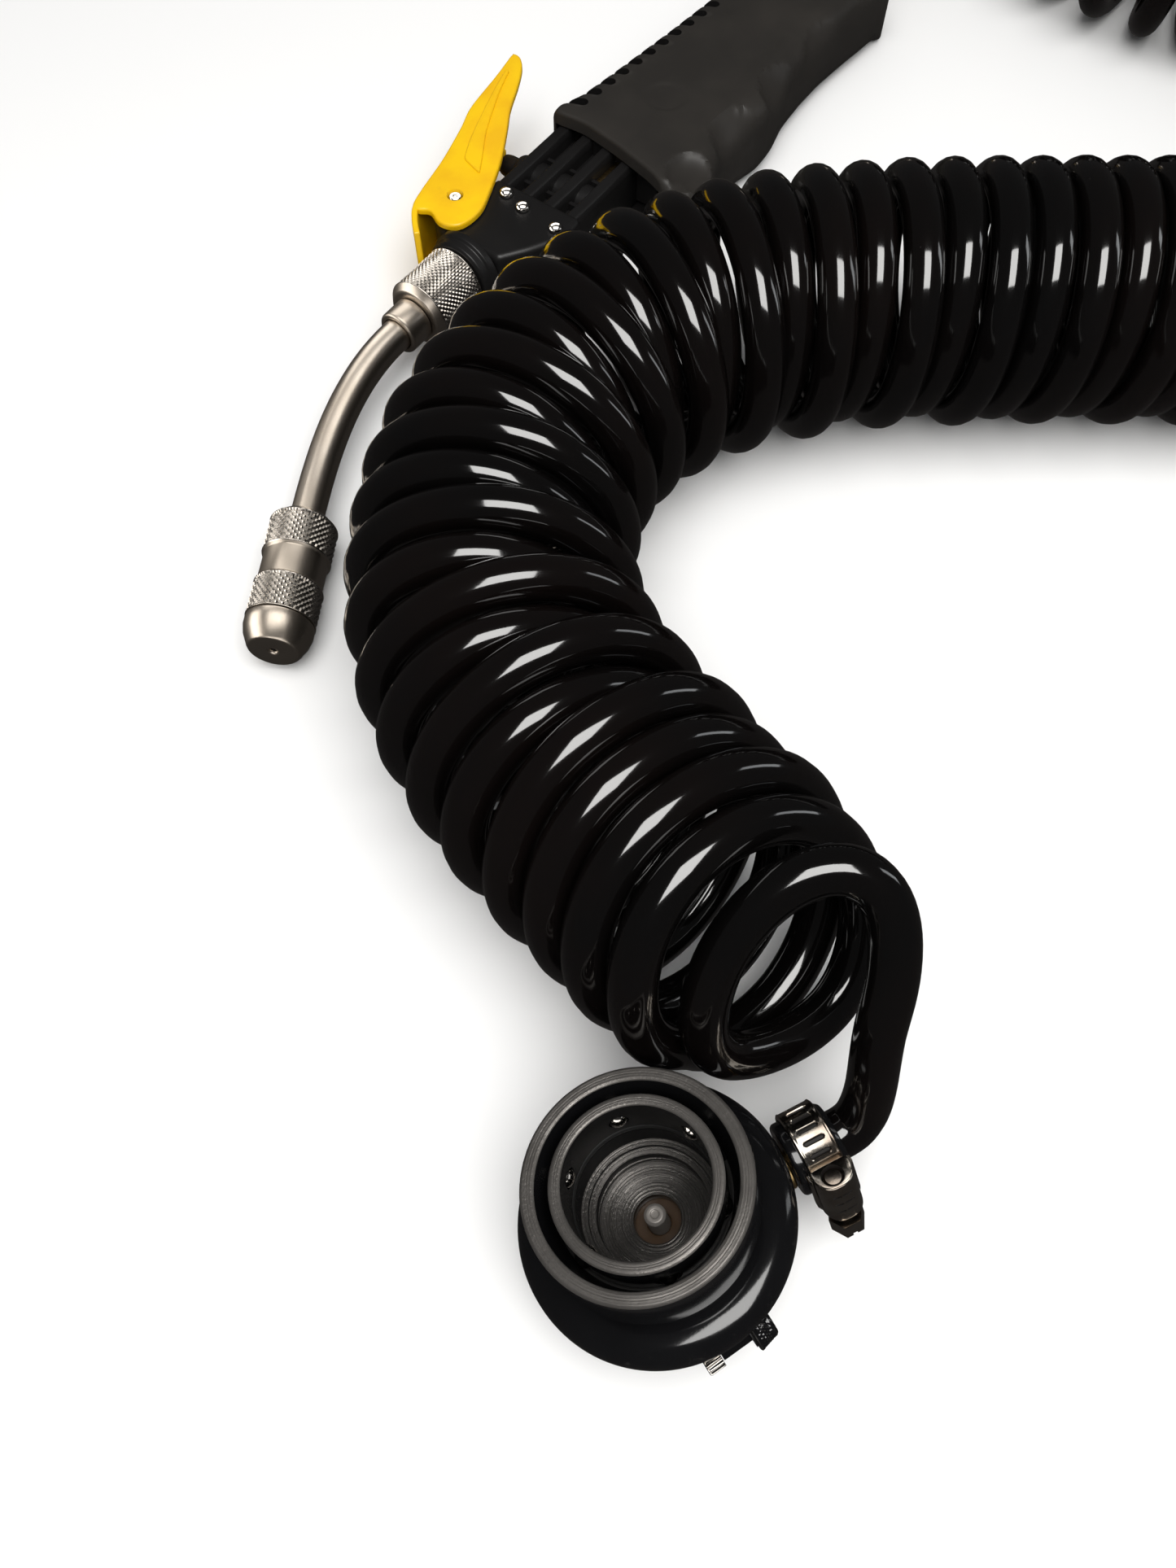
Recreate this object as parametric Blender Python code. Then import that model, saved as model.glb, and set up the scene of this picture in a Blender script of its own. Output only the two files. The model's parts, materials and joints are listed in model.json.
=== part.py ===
"""Coiled air hose with an inlet coupler at one end and a blow gun at the other.

It lies on the ground plane with Z up. The coupler stands at the -Y end, and the wound hose
runs from it towards +Y and +X and turns back to the gun's grip. Lengths are in millimetres; M
converts them to metres when a mesh is made."""
import math
from collections import namedtuple

import bmesh
import bpy
import numpy as np
from mathutils import Matrix, Vector

for scene_object in list(bpy.data.objects):
    bpy.data.objects.remove(scene_object, do_unlink=True)

M = 0.001
SHIFT = Vector((-129.4, -290.0, 0.0))   # puts the bounding box's bottom centre at the origin
SHARP_ANGLE = math.radians(35)
UP = Vector((0, 0, 1))

# ---------------------------------------------------------------- finishes
Finish = namedtuple("Finish", "colour metallic roughness")
BLACK = Finish(colour=(0.012, 0.011, 0.011), metallic=0.0, roughness=0.12)
ANODISED = Finish(colour=(0.02, 0.02, 0.021), metallic=0.6, roughness=0.3)
RUBBER = Finish(colour=(0.015, 0.015, 0.015), metallic=0.0, roughness=0.7)
STEEL = Finish(colour=(0.6, 0.58, 0.55), metallic=1.0, roughness=0.3)
PLASTIC = Finish(colour=(0.035, 0.033, 0.031), metallic=0.0, roughness=0.5)
YELLOW = Finish(colour=(0.9, 0.55, 0.01), metallic=0.0, roughness=0.4)
BROWN = Finish(colour=(0.12, 0.06, 0.03), metallic=0.0, roughness=0.5)
BRASS = Finish(colour=(0.6, 0.42, 0.18), metallic=1.0, roughness=0.35)


def material(name, finish):
    mat = bpy.data.materials.new(name)
    mat.use_nodes = True
    inputs = mat.node_tree.nodes["Principled BSDF"].inputs
    inputs["Base Color"].default_value = (*finish.colour, 1.0)
    inputs["Metallic"].default_value = finish.metallic
    inputs["Roughness"].default_value = finish.roughness
    mat.diffuse_color = (*finish.colour, 1.0)
    return mat


# ---------------------------------------------------------------- frames
def frame(origin, x, z):
    """A frame from an origin, its z direction and an x direction made square to z."""
    z = Vector(z).normalized()
    x = Vector(x)
    x = (x - z * x.dot(z)).normalized()
    y = z.cross(x)
    matrix = Matrix.Identity(4)
    for row in range(3):
        matrix[row][0], matrix[row][1], matrix[row][2] = x[row], y[row], z[row]
        matrix[row][3] = origin[row]
    return matrix


def turned(placing, direction):
    """A frame's own direction, in the scene."""
    return placing.to_3x3() @ Vector(direction)


def heading(degrees):
    """A level unit vector, turned from +X towards +Y."""
    angle = math.radians(degrees)
    return Vector((math.cos(angle), math.sin(angle), 0))


# ---------------------------------------------------------------- objects and Booleans
def shade(mesh):
    mesh.shade_smooth()
    mesh.set_sharp_from_angle(angle=SHARP_ANGLE)


def place(name, bm, placing):
    """An object from a bmesh in mm, with its origin at the frame's origin."""
    bmesh.ops.recalc_face_normals(bm, faces=bm.faces)
    mesh = bpy.data.meshes.new(name)
    bmesh.ops.scale(bm, vec=(M, M, M), verts=bm.verts)
    bm.to_mesh(mesh)
    bm.free()
    ob = bpy.data.objects.new(name, mesh)
    bpy.context.scene.collection.objects.link(ob)
    world = placing.copy()
    world.translation = (placing.to_translation() + SHIFT) * M
    ob.matrix_world = world
    bpy.context.view_layer.update()
    return ob


def part(name, bm, finish, placing):
    ob = place(name, bm, placing)
    ob.data.materials.append(material(name + "_mat", finish))
    shade(ob.data)
    return ob


def combine(ob, tools, operation):
    """Applies a Boolean for each tool, removes the tools and cleans the mesh once at the end."""
    for tool in tools:
        modifier = ob.modifiers.new("b", "BOOLEAN")
        modifier.operation = operation
        modifier.solver = "EXACT"
        modifier.object = tool
        bpy.context.view_layer.update()
        depsgraph = bpy.context.evaluated_depsgraph_get()
        mesh = bpy.data.meshes.new_from_object(ob.evaluated_get(depsgraph))
        ob.modifiers.clear()
        old = ob.data
        ob.data = mesh
        bpy.data.meshes.remove(old)
        bpy.data.objects.remove(tool, do_unlink=True)
    bm = bmesh.new()
    bm.from_mesh(ob.data)
    bmesh.ops.remove_doubles(bm, verts=bm.verts, dist=0.00002)
    bmesh.ops.dissolve_degenerate(bm, edges=bm.edges, dist=0.00001)
    bmesh.ops.triangulate(bm, faces=[f for f in bm.faces if len(f.verts) > 4])
    bm.to_mesh(ob.data)
    bm.free()
    for polygon in ob.data.polygons:
        polygon.material_index = 0
    shade(ob.data)


def cut(ob, *tools):
    combine(ob, tools, "DIFFERENCE")


def join(ob, *tools):
    combine(ob, tools, "UNION")


# ---------------------------------------------------------------- shapes
def circle_point(radius, k, count, phase=0.0):
    angle = phase + 2 * math.pi * k / count
    return radius * math.cos(angle), radius * math.sin(angle)


def lathe_bm(profile, sides, phase=0.0):
    """A body of revolution about Z from a closed profile of (radius, z); radius 0 is the axis."""
    bm = bmesh.new()
    rings = []
    for radius, z in profile:
        if radius < 1e-9:
            rings.append([bm.verts.new((0, 0, z))])
        else:
            rings.append([bm.verts.new((*circle_point(radius, i, sides, phase), z))
                          for i in range(sides)])
    for p, q in zip(rings, rings[1:] + rings[:1]):
        if len(p) == 1 and len(q) == 1:
            continue
        for i in range(sides):
            j = (i + 1) % sides
            if len(p) == 1:
                bm.faces.new((p[0], q[i], q[j]))
            elif len(q) == 1:
                bm.faces.new((p[i], q[0], p[j]))
            else:
                bm.faces.new((p[i], q[i], q[j], p[j]))
    return bm


def prism_bm(outline, z0, z1, low=0.0, high=0.0):
    """A prism from a flat outline; low and high are the rounding of its two rims."""
    bm = bmesh.new()
    points = [Vector(p) for p in outline]
    count = len(points)
    following = points[1:] + points[:1]
    if sum(a.x * b.y - b.x * a.y for a, b in zip(points, following)) < 0:
        points.reverse()

    def inset(distance):
        moved = []
        for i in range(count):
            before, here, after = points[i - 1], points[i], points[(i + 1) % count]
            edge1, edge2 = (here - before).normalized(), (after - here).normalized()
            inward = Vector((-edge1.y, edge1.x)) + Vector((-edge2.y, edge2.x))
            # limits how far a sharp corner moves
            inward = inward / max(inward.dot(inward) / 2, 0.35)
            moved.append(here + inward * distance)
        return moved

    levels = [(points, z0 + low), (points, z1 - high)]
    if low:
        levels = [(inset(low), z0), (inset(low * 0.3), z0 + low * 0.3)] + levels
    if high:
        levels += [(inset(high * 0.3), z1 - high * 0.3), (inset(high), z1)]
    rings = [[bm.verts.new((p.x, p.y, z)) for p in level] for level, z in levels]
    for p, q in zip(rings, rings[1:]):
        for i in range(count):
            j = (i + 1) % count
            bm.faces.new((p[i], p[j], q[j], q[i]))
    bm.faces.new(list(reversed(rings[0])))
    bm.faces.new(rings[-1])
    return bm


def sweep_bm(points, radius, sides, bore=0.0, bore_sides=0):
    """A tube along points with a twist-free section; bore gives an open hole end to end."""
    centres = np.array(points, float)
    tangents = np.gradient(centres, axis=0)
    tangents /= np.linalg.norm(tangents, axis=1)[:, None]
    across = np.cross(tangents[0], np.array(UP, float))
    across /= np.linalg.norm(across)
    bm = bmesh.new()

    def ring(centre, ring_radius, count):
        angles = [2 * math.pi * k / count for k in range(count)]
        return [bm.verts.new(centre + ring_radius * (math.cos(a) * across + math.sin(a) * second))
                for a in angles]

    outer, inner = [], []
    for centre, tangent in zip(centres, tangents):
        across = across - tangent * (across @ tangent)
        across /= np.linalg.norm(across)
        second = np.cross(tangent, across)
        outer.append(ring(centre, radius, sides))
        if bore:
            inner.append(ring(centre, bore, bore_sides))
    for rings, count, order in ((outer, sides, 1), (inner, bore_sides, -1)):
        for p, q in zip(rings, rings[1:]):
            for k in range(count):
                j = (k + 1) % count
                bm.faces.new((p[k], p[j], q[j], q[k])[::order])
    if bore:
        for end in (0, -1):
            edges = [bm.edges.get((rim[k], rim[(k + 1) % len(rim)]))
                     for rim in (outer[end], inner[end]) for k in range(len(rim))]
            bmesh.ops.triangle_fill(bm, edges=edges, use_beauty=True)
    else:
        bm.faces.new(list(reversed(outer[0])))
        bm.faces.new(outer[-1])
    return bm


def lathe(name, profile, finish, placing, sides, phase=0.0):
    return part(name, lathe_bm(profile, sides, phase), finish, placing)


def spring(name, radius, z0, z1, wire, per_turn, placing, turns=3):
    """A coil spring about Z; the wire lies flat over a share of its length at each end."""
    flat = 0.12
    count = turns * per_turn
    points = []
    for i in range(count + 1):
        rise = min(max((i / count - flat) / (1 - 2 * flat), 0), 1)
        points.append((*circle_point(radius, i, per_turn), z0 + (z1 - z0) * rise))
    part(name, sweep_bm(points, wire, 4), STEEL, placing)


def oring(name, radius, z, half_width, half_height, placing, sides):
    """A ring with a six-sided section, centred at (radius, z)."""
    angles = [2 * math.pi * k / 6 for k in range(6)]
    section = [(radius + half_width * math.cos(a), z + half_height * math.sin(a)) for a in angles]
    lathe(name, section, RUBBER, placing, sides)


# ---------------------------------------------------------------- Boolean tools
def tool(bm, placing):
    return place("tool", bm, placing)


def lathe_tool(profile, placing, sides):
    return tool(lathe_bm(profile, sides), placing)


def rod_tool(radius, z0, z1, placing, sides, phase=0.0):
    return tool(lathe_bm([(0, z0), (radius, z0), (radius, z1), (0, z1)], sides, phase), placing)


def box_bm(low, high):
    bm = bmesh.new()
    bmesh.ops.create_cube(bm, size=1.0)
    for vert in bm.verts:
        for k in range(3):
            vert.co[k] = low[k] if vert.co[k] < 0 else high[k]
    return bm


def box_tool(low, high, placing):
    return tool(box_bm(low, high), placing)


# ---------------------------------------------------------------- coupler frames
MOUTH_CENTRE = Vector((10.0, 32.0, 48.0))
COUPLER_AXIS = Vector((-0.21, 0.18, 0.96)).normalized()
MOUTH_Z = 27.0                          # height of the mouth in the coupler's frame
TAIL_AZ = 24.0                          # heading of the hose tail
TAIL_Z = -8.5
BLEED_AZ, BLEED_Z, BLEED_OUT = -83.0, -7.0, 30.3    # the bleed screw's middle, from the tail

COUPLER_O = MOUTH_CENTRE - COUPLER_AXIS * MOUTH_Z
TAIL_HEADING = heading(TAIL_AZ)
COUPLER = frame(COUPLER_O, TAIL_HEADING, COUPLER_AXIS)      # Z up the axis, X along the tail
TAIL_DIR = COUPLER.col[0].to_3d()
TAIL_O = COUPLER_O + COUPLER_AXIS * TAIL_Z
TAIL = frame(TAIL_O, COUPLER_AXIS, TAIL_DIR)                # Z along the hose tail


def coupler_dir(degrees):
    """A direction square to the coupler's axis, turned from the tail."""
    return turned(COUPLER, heading(degrees))


BLEED_DIR = coupler_dir(BLEED_AZ)
BLEED_BASE = COUPLER_O + COUPLER_AXIS * BLEED_Z
BLEED_BOSS = frame(BLEED_BASE, COUPLER_AXIS, BLEED_DIR)     # Z outwards through the boss
# Z along the bleed screw, towards its tip
BLEED = frame(BLEED_BASE + BLEED_DIR * BLEED_OUT, COUPLER_AXIS, coupler_dir(BLEED_AZ - 90))

# ---------------------------------------------------------------- gun frames
GUN_O = Vector((-58.6, 315.0, 18.0))    # on the lance's axis, where the nut begins
GUN_X = heading(54.5)                   # from the nut towards the grip
GUN = frame(GUN_O, GUN_X, UP)           # the lever lies on the +Y side
GUN_Y = turned(GUN, (0, 1, 0))
LEVER_PIN = (43.9, 15.9)
GRIP_END, GRIP_AXIS_Y = 250.0, -22.0
AIR_TUBE_Y = -15.0
MID_Z = -1.0                            # height of the air tube and the plunger
NOZZLE_REAR = Vector((-88.8, 234.3, 11.3))
NOZZLE_DIR = Vector((-0.0997, -0.995, 0.0)).normalized()


def gun_point(x, y, z=0.0):
    return GUN @ Vector((x, y, z))


def gun_along(y=0.0, z=0.0):
    """A frame with its Z along the gun's X, at an offset y, z."""
    return frame(gun_point(0, y, z), UP, GUN_X)


LANCE = gun_along()
INLET = gun_along(GRIP_AXIS_Y)
AIR_TUBE = gun_along(AIR_TUBE_Y, MID_Z)
PLUNGER = frame(gun_point(80.0, 0, MID_Z), GUN_X, GUN_Y)    # Z out towards the lever
LEVER = frame(gun_point(*LEVER_PIN), GUN_X, UP)
NOZZLE = frame(NOZZLE_REAR, UP, NOZZLE_DIR)

# ---------------------------------------------------------------- hose
TUBE_R, BORE_R = 6.0, 4.0
HOSE_SIDES, BORE_SIDES = 6, 4
FINE_PER_TURN, SEG_PER_TURN = 40, 8     # points per turn while winding, and in the mesh
HOSE_STEP = 8.0                         # spacing of points outside the wound part
STRAIGHT_SEGS = 3                       # segments in each straight end
REST_Z = TUBE_R + 0.05                  # lowest height of the centre line
TURN_GAP = 12.55                        # least centre distance between neighbouring turns
STAGGER_GAP = 13.1                      # centre distance that staggered turns aim for
FIRST_ANGLE, FREE_ANGLE = -35.0, 288.0  # where the winding starts and the free turn ends
HOSE_START = 33.5                       # along the coupler's tail
HOSE_END = GRIP_END + 27.0              # along the gun's inlet
TAIL_STRAIGHT, INLET_STRAIGHT = 15.0, 19.5

COIL_Z, COIL_R = 39, 33
BEND_PITCH = 17.4
BEND_1_R, BEND_1_TURN = 99.0, 165       # left-hand bend
BEND_2_R, BEND_2_TURN = 70.0, 70        # right-hand bend that follows it

# line the coil is wound on: x, y, z, pitch, yaw and tilt of the turns (degrees), turn radius
COIL_STATIONS = [
    (50, 72, 45, 13.9, -6, -38, 36.5), (38, 87, 43, 13.9, -4, -33, 35.5),
    (21, 106, 42, 13.9, 2, -26, 34.5), (1, 126, 41, 13.8, 6, -19, 33.5),
    (-16, 149, 40, 13.7, 6, -12, 33), (-26, 173, 39, 13.7, 5, -7, 33),
    (-28.5, 199, 39, 13.7, 2, -3, 33), (-22, 235, 39, 13.9, 0, 0, 33),
    (-5, 263, 39, 14.0, 0, 0, 33), (18, 282, 39, 14.0, 0, 0, 33),
    (48, 294.5, 39, 13.8, 0, 0, 33), (98, 302, 39, 13.4, 0, 0, 33),
    (140, 303, 39, 13.0, 0, 0, 33), (187, 303, 39, 12.8, 0, 0, 33),
    (225, 303, 39, 13.2, 0, 0, 33)]

# x, y, z of the free first turn, which rises beside the coupler and drops steeply
FREE_TURN = [
    (62.7, 56.8, 38.0), (67.4, 65.8, 46.0), (69.2, 74.1, 54.0), (69.6, 82.4, 61.0),
    (68.6, 89.6, 66.5), (64.5, 95.5, 70.5), (57.7, 97.8, 72.5), (49.3, 95.7, 72.0),
    (41.5, 91.9, 69.0), (34.2, 86.3, 63.5), (28.6, 79.1, 56.0), (25.0, 71.1, 46.5),
    (23.6, 64.5, 36.0), (26.5, 61.0, 25.0)]

BASE_LOW, FLANGE_LOW, FLANGE_TOP = -15.0, -1.6, 6.3
FLANGE_R, LOWER_R, SLEEVE_R = 32.5, 26.0, 25.7
# cylinders the hose keeps clear of, in the coupler's frame: radius, low z, high z
COUPLER_BODIES = [
    (SLEEVE_R, 0.0, MOUTH_Z + 0.5),
    (FLANGE_R, FLANGE_LOW, FLANGE_TOP),
    (LOWER_R, BASE_LOW, 0.0)]


def hermite(p0, t0, p1, t1, count):
    """Points of a cubic from p0 to p1 with end tangents t0 and t1, without the last point."""
    points = []
    for k in range(count):
        t = k / count
        points.append((2 * t**3 - 3 * t**2 + 1) * p0 + (t**3 - 2 * t**2 + t) * t0
                      + (-2 * t**3 + 3 * t**2) * p1 + (t**3 - t**2) * t1)
    return points


def step_lengths(points):
    return np.linalg.norm(np.diff(points, axis=0), axis=1)


def running_total(steps):
    return np.concatenate([[0], np.cumsum(steps)])


def unit(vector):
    return vector / np.linalg.norm(vector)


def smoothed(values, reach):
    """The moving average over reach neighbours on each side."""
    window = np.ones(2 * reach + 1) / (2 * reach + 1)
    return np.convolve(np.pad(values, reach, mode="edge"), window, "valid")


def coil_axis():
    """The stations and the two bends after them, joined by a spline; columns as the table."""
    rows = list(COIL_STATIONS)

    def add(x, y, pitch):
        rows.append((x, y, COIL_Z, pitch, 0, 0, COIL_R))

    x, y = rows[-1][:2]
    centre_y = y + BEND_1_R
    for turn in range(15, BEND_1_TURN + 1, 15):
        angle = math.radians(turn - 90)
        add(x + BEND_1_R * math.cos(angle), centre_y + BEND_1_R * math.sin(angle), BEND_PITCH)
    x, y = rows[-1][:2]
    x += BEND_2_R * math.sin(math.radians(BEND_1_TURN))
    y -= BEND_2_R * math.cos(math.radians(BEND_1_TURN))
    for turn in range(10, BEND_2_TURN + 1, 10):
        angle = math.radians(BEND_1_TURN + 90 - turn)
        add(x + BEND_2_R * math.cos(angle), y + BEND_2_R * math.sin(angle), BEND_PITCH)
    x, y = rows[-1][:2]
    add(x - 2, y + 20, 15)

    rows = np.array(rows, float)
    knots = [2 * rows[0] - rows[1]] + list(rows) + [2 * rows[-1] - rows[-2]]
    points = []
    for i in range(1, len(knots) - 2):
        p0, p1, p2, p3 = knots[i - 1:i + 3]
        d1, d2, d3 = (np.linalg.norm((b - a)[:3]) for a, b in ((p0, p1), (p1, p2), (p2, p3)))
        t1 = d2 * ((p1 - p0) / d1 * d2 + (p2 - p1) / d2 * d1) / (d1 + d2)
        t2 = d2 * ((p2 - p1) / d2 * d3 + (p3 - p2) / d3 * d2) / (d2 + d3)
        points += hermite(p1, t1, p2, t2, 30)
    points.append(knots[-2])
    return np.array(points)


def wound_turns():
    """Left-hand turns about the coil's axis, alternately in and out where the axis bends."""
    stations = coil_axis()
    centres, pitches = stations[:, :3], stations[:, 3]
    steps = step_lengths(centres)
    along = running_total(steps)
    mean_pitch = (pitches[1:] + pitches[:-1]) / 2
    phase = math.radians(FIRST_ANGLE) + running_total(steps / mean_pitch * 2 * math.pi)
    tangents = np.gradient(centres, along, axis=0)
    tangents /= np.linalg.norm(tangents, axis=1)[:, None]
    headings = np.unwrap(np.arctan2(tangents[:, 1], tangents[:, 0]))

    theta = np.arange(phase[0], phase[-1], 2 * math.pi / FINE_PER_TURN)
    place_along = np.interp(theta, phase, along)

    def at_turns(values):
        return np.interp(place_along, along, values)

    centre = np.stack([at_turns(centres[:, i]) for i in range(3)], 1)
    pitch, radius = at_turns(pitches), at_turns(stations[:, 6])
    yaw, tilt = np.radians(at_turns(stations[:, 4])), np.radians(at_turns(stations[:, 5]))
    facing = smoothed(at_turns(headings) - yaw, 9)
    normal = np.stack([np.cos(facing) * np.cos(tilt), np.sin(facing) * np.cos(tilt),
                       np.sin(tilt)], 1)
    right = np.stack([np.sin(facing), -np.cos(facing), 0 * facing], 1)
    up = np.cross(right, normal)

    # the stagger makes up the distance that neighbours lose on the inside of a bend
    bend = np.gradient(smoothed(facing, 30), place_along)
    inner_pitch = pitch * np.cos(yaw) - pitch * radius * np.abs(bend)
    lost = STAGGER_GAP**2 - np.maximum(inner_pitch, 3.0)**2
    stagger = smoothed(0.5 * np.sqrt(np.maximum(lost, 0)), 30)
    wave = np.where(smoothed(bend, 30) < 0, np.cos(theta / 2), np.sin(theta / 2))
    radius = radius + stagger * np.sign(wave) * np.abs(wave)**5
    circle = np.cos(theta)[:, None] * right + np.sin(theta)[:, None] * up
    return centre + radius[:, None] * circle


def lay_free_turn(turns):
    """Replaces the start of the winding with the free first turn and eases it in."""
    last = round((FREE_ANGLE - FIRST_ANGLE) / 360.0 * FINE_PER_TURN)
    knots = [np.array(p) for p in FREE_TURN] + [turns[last], turns[last + 3]]
    knots = [2 * knots[0] - knots[1]] + knots
    fine = []
    for i in range(1, len(knots) - 2):
        fine += hermite(knots[i], (knots[i + 1] - knots[i - 1]) / 2,
                        knots[i + 1], (knots[i + 2] - knots[i]) / 2, 12)
    fine = np.array(fine + [knots[-2]])
    along = running_total(step_lengths(fine))
    even = np.linspace(0, along[-1], last + 1)
    for i in range(3):
        turns[:last + 1, i] = np.interp(even, along, fine[:, i])
    for _ in range(3):
        for i in range(3):
            turns[2:70, i] = smoothed(turns[:, i], 2)[2:70]


def push_from_coupler(points, gap):
    """How far each point must move to stand clear of the coupler's bodies."""
    axes = np.array(COUPLER.to_3x3())
    local = (points - np.array(COUPLER_O)) @ axes
    radial = np.maximum(np.hypot(local[:, 0], local[:, 1]), 1e-6)
    move = np.zeros_like(points)
    for radius, low, high in COUPLER_BODIES:
        height = local[:, 2] - (low + high) / 2
        past_side, past_end = radial - radius, np.abs(height) - (high - low) / 2
        side, end = np.maximum(past_side, 0), np.maximum(past_end, 0)
        outside = np.hypot(side, end)
        # a point inside the body leaves by the nearer of its side and its end
        inside = outside < 1e-9
        by_side = inside & (past_side > past_end)
        side = np.where(by_side, 1.0, side)
        end = np.where(inside & ~by_side, 1.0, end)
        distance = np.where(inside, np.maximum(past_side, past_end), outside)
        length = np.maximum(np.hypot(side, end), 1e-9)
        direction = np.stack([local[:, 0] / radial * side / length,
                              local[:, 1] / radial * side / length,
                              np.sign(height) * end / length], 1)
        push = direction * np.maximum(gap - distance, 0)[:, None]
        larger = np.linalg.norm(push, axis=1) > np.linalg.norm(move, axis=1)
        move[larger] = push[larger]
    return move @ axes.T


def settle(turns):
    """Pushes apart turns that are too close, off the coupler and up off the ground."""
    neighbours = [n * FINE_PER_TURN + k for n in (1, 2) for k in range(-8, 9)]
    for _ in range(400):
        move = np.zeros_like(turns)
        for k in neighbours:
            between = turns[k:] - turns[:-k]
            distance = np.linalg.norm(between, axis=1)
            lack = np.maximum(TURN_GAP - distance, 0)
            push = between / distance[:, None] * (lack * 0.25)[:, None]
            move[k:] += push
            move[:-k] -= push
        move += 0.2 * push_from_coupler(turns, TUBE_R + 0.6)
        if np.abs(move).max() < 1e-3:
            break
        for i in range(3):
            move[:, i] = smoothed(smoothed(move[:, i], 3), 3)
        turns = turns + move
        turns[:, 2] += np.maximum(REST_Z - turns[:, 2], 0)
    return turns


def hose_line():
    """The whole centre line, from the coupler's tail to the gun's inlet."""
    turns = wound_turns()
    lay_free_turn(turns)
    turns = settle(turns)[::FINE_PER_TURN // SEG_PER_TURN]
    tail_start = np.array(TAIL_O + TAIL_DIR * HOSE_START)
    tail_end = np.array(TAIL_O + TAIL_DIR * (HOSE_START + TAIL_STRAIGHT))
    inlet_start = np.array(gun_point(HOSE_END + INLET_STRAIGHT, GRIP_AXIS_Y))
    inlet_end = np.array(gun_point(HOSE_END, GRIP_AXIS_Y))

    line = [tail_start + (tail_end - tail_start) * k / STRAIGHT_SEGS
            for k in range(STRAIGHT_SEGS)]
    # an easy bend where the hose leaves the clamp, taking in the first few points of the turns
    joined = 3
    count = max(3, round(np.linalg.norm(turns[0] - tail_end) / HOSE_STEP)) + joined
    lead = unit(turns[joined + 1] - turns[joined - 1])
    line += hermite(tail_end, np.array(TAIL_DIR) * 30.0, turns[joined], lead * 36.0, count)
    line += list(turns[joined:-1])
    last = turns[-1]
    span = np.linalg.norm(inlet_start - last)
    line += hermite(last, unit(last - turns[-2]) * span * 1.25,
                    inlet_start, -np.array(GUN_X) * span * 1.25,
                    max(5, round(span / HOSE_STEP)))
    line += [inlet_start + (inlet_end - inlet_start) * k / STRAIGHT_SEGS
             for k in range(STRAIGHT_SEGS + 1)]
    line = np.array(line)
    line[:, 2] = np.maximum(line[:, 2], REST_Z)
    return line


part("coil_hose", sweep_bm(hose_line(), TUBE_R, HOSE_SIDES, BORE_R, BORE_SIDES), BLACK,
     Matrix.Identity(4))


# ---------------------------------------------------------------- hose end fittings
def barbs(first, end):
    """The profile of three barbs and the stem's end face, with z along the hose."""
    profile = []
    for k in range(3):
        z = first + 4.4 * k
        profile += [(2.2, z), (2.7, z + 0.2), (2.2, z + 3.4)]
    return profile + [(1.7, end)]


def cuff(tag, start, length, chamfer, placing):
    """A rubber sleeve around the hose end."""
    end = start + length
    lathe(f"hose_cuff_{tag}", [
        (6.2, start), (8.6, start), (9.0, start + 0.5),
        (9.0, end - chamfer), (8.2, end), (6.2, end)], RUBBER, placing, 18)


CLAMP_SCREW_OUT = 13.4                  # from the hose's axis to the worm screw's
# worm housing section: along the hose, out from the hose's axis
CLAMP_HOUSING = [
    (-4.9, 10.0), (4.9, 10.0), (4.9, 13.0), (3.6, 15.6),
    (1.6, 16.8), (-1.6, 16.8), (-3.6, 15.6), (-4.9, 13.0)]


def clamp(tag, origin, axis, out):
    """A worm-drive clamp around the axis, with its worm housing in the direction out."""
    body = frame(origin, axis, out)
    across = turned(body, (0, -1, 0))

    band = lathe(f"clamp_band_{tag}", [(9.3, -4.5), (10.3, -4.5), (10.3, 4.5), (9.3, 4.5)],
                 STEEL, frame(origin, out, axis), 24)
    slots = []
    for k in range(9):
        angle = math.radians(48 + 24.0 * k)
        slot_out = turned(body, (0, math.sin(angle), math.cos(angle)))
        slots.append(box_tool((-2.6, -0.62, 8.0), (2.6, 0.62, 12.0),
                              frame(origin, turned(body, (1, 0, 0)), slot_out)))
    cut(band, *slots)
    # the band is thinner under the housing
    cut(band, box_tool((-7, -9, 9.8), (7, 9, 14), body))

    screw_frame = frame(body @ Vector((0, 0, CLAMP_SCREW_OUT)), axis, across)
    housing = part(f"clamp_housing_{tag}", prism_bm(CLAMP_HOUSING, -6.8, 6.8), STEEL,
                   frame(origin, axis, across))
    cut(housing, rod_tool(2.7, -9, 9, screw_frame, 14))

    thread = [(0, -6.4)]
    for k in range(3):
        z = -5.2 + 3.8 * k
        thread += [(1.9, z), (2.5, z + 1.0), (1.9, z + 2.6)]
    screw = lathe(f"clamp_screw_{tag}", thread + [(1.9, 6.9), (0, 6.9)], STEEL, screw_frame, 6)
    head = [(0, 6.7), (2.0, 6.7), (2.0, 8.4), (4.4, 8.4), (4.4, 12.6), (3.9, 13.2), (0, 13.2)]
    join(screw, lathe_tool(head, screw_frame, 6))
    cut(screw, box_tool((-0.6, -6, 12.0), (0.6, 6, 15), screw_frame))


# ---------------------------------------------------------------- coupler
NECK_R = 23.5
TUBE_OUT_R, TUBE_IN_R = 19.35, 16.5
BALL_R, BALL_CENTRE_R, BALL_Z = 2.5, 17.8, 19.5
BALL_DIRS = [coupler_dir(47.0 + 60.0 * i - TAIL_AZ) for i in range(6)]
PIN_R, PIN_TOP = 2.65, 2.0
CLAMP_ALONG = 40.5                      # along the coupler's tail
CLAMP_TILT = math.radians(62.0)         # of the worm housing, from the coupler's axis


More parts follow.
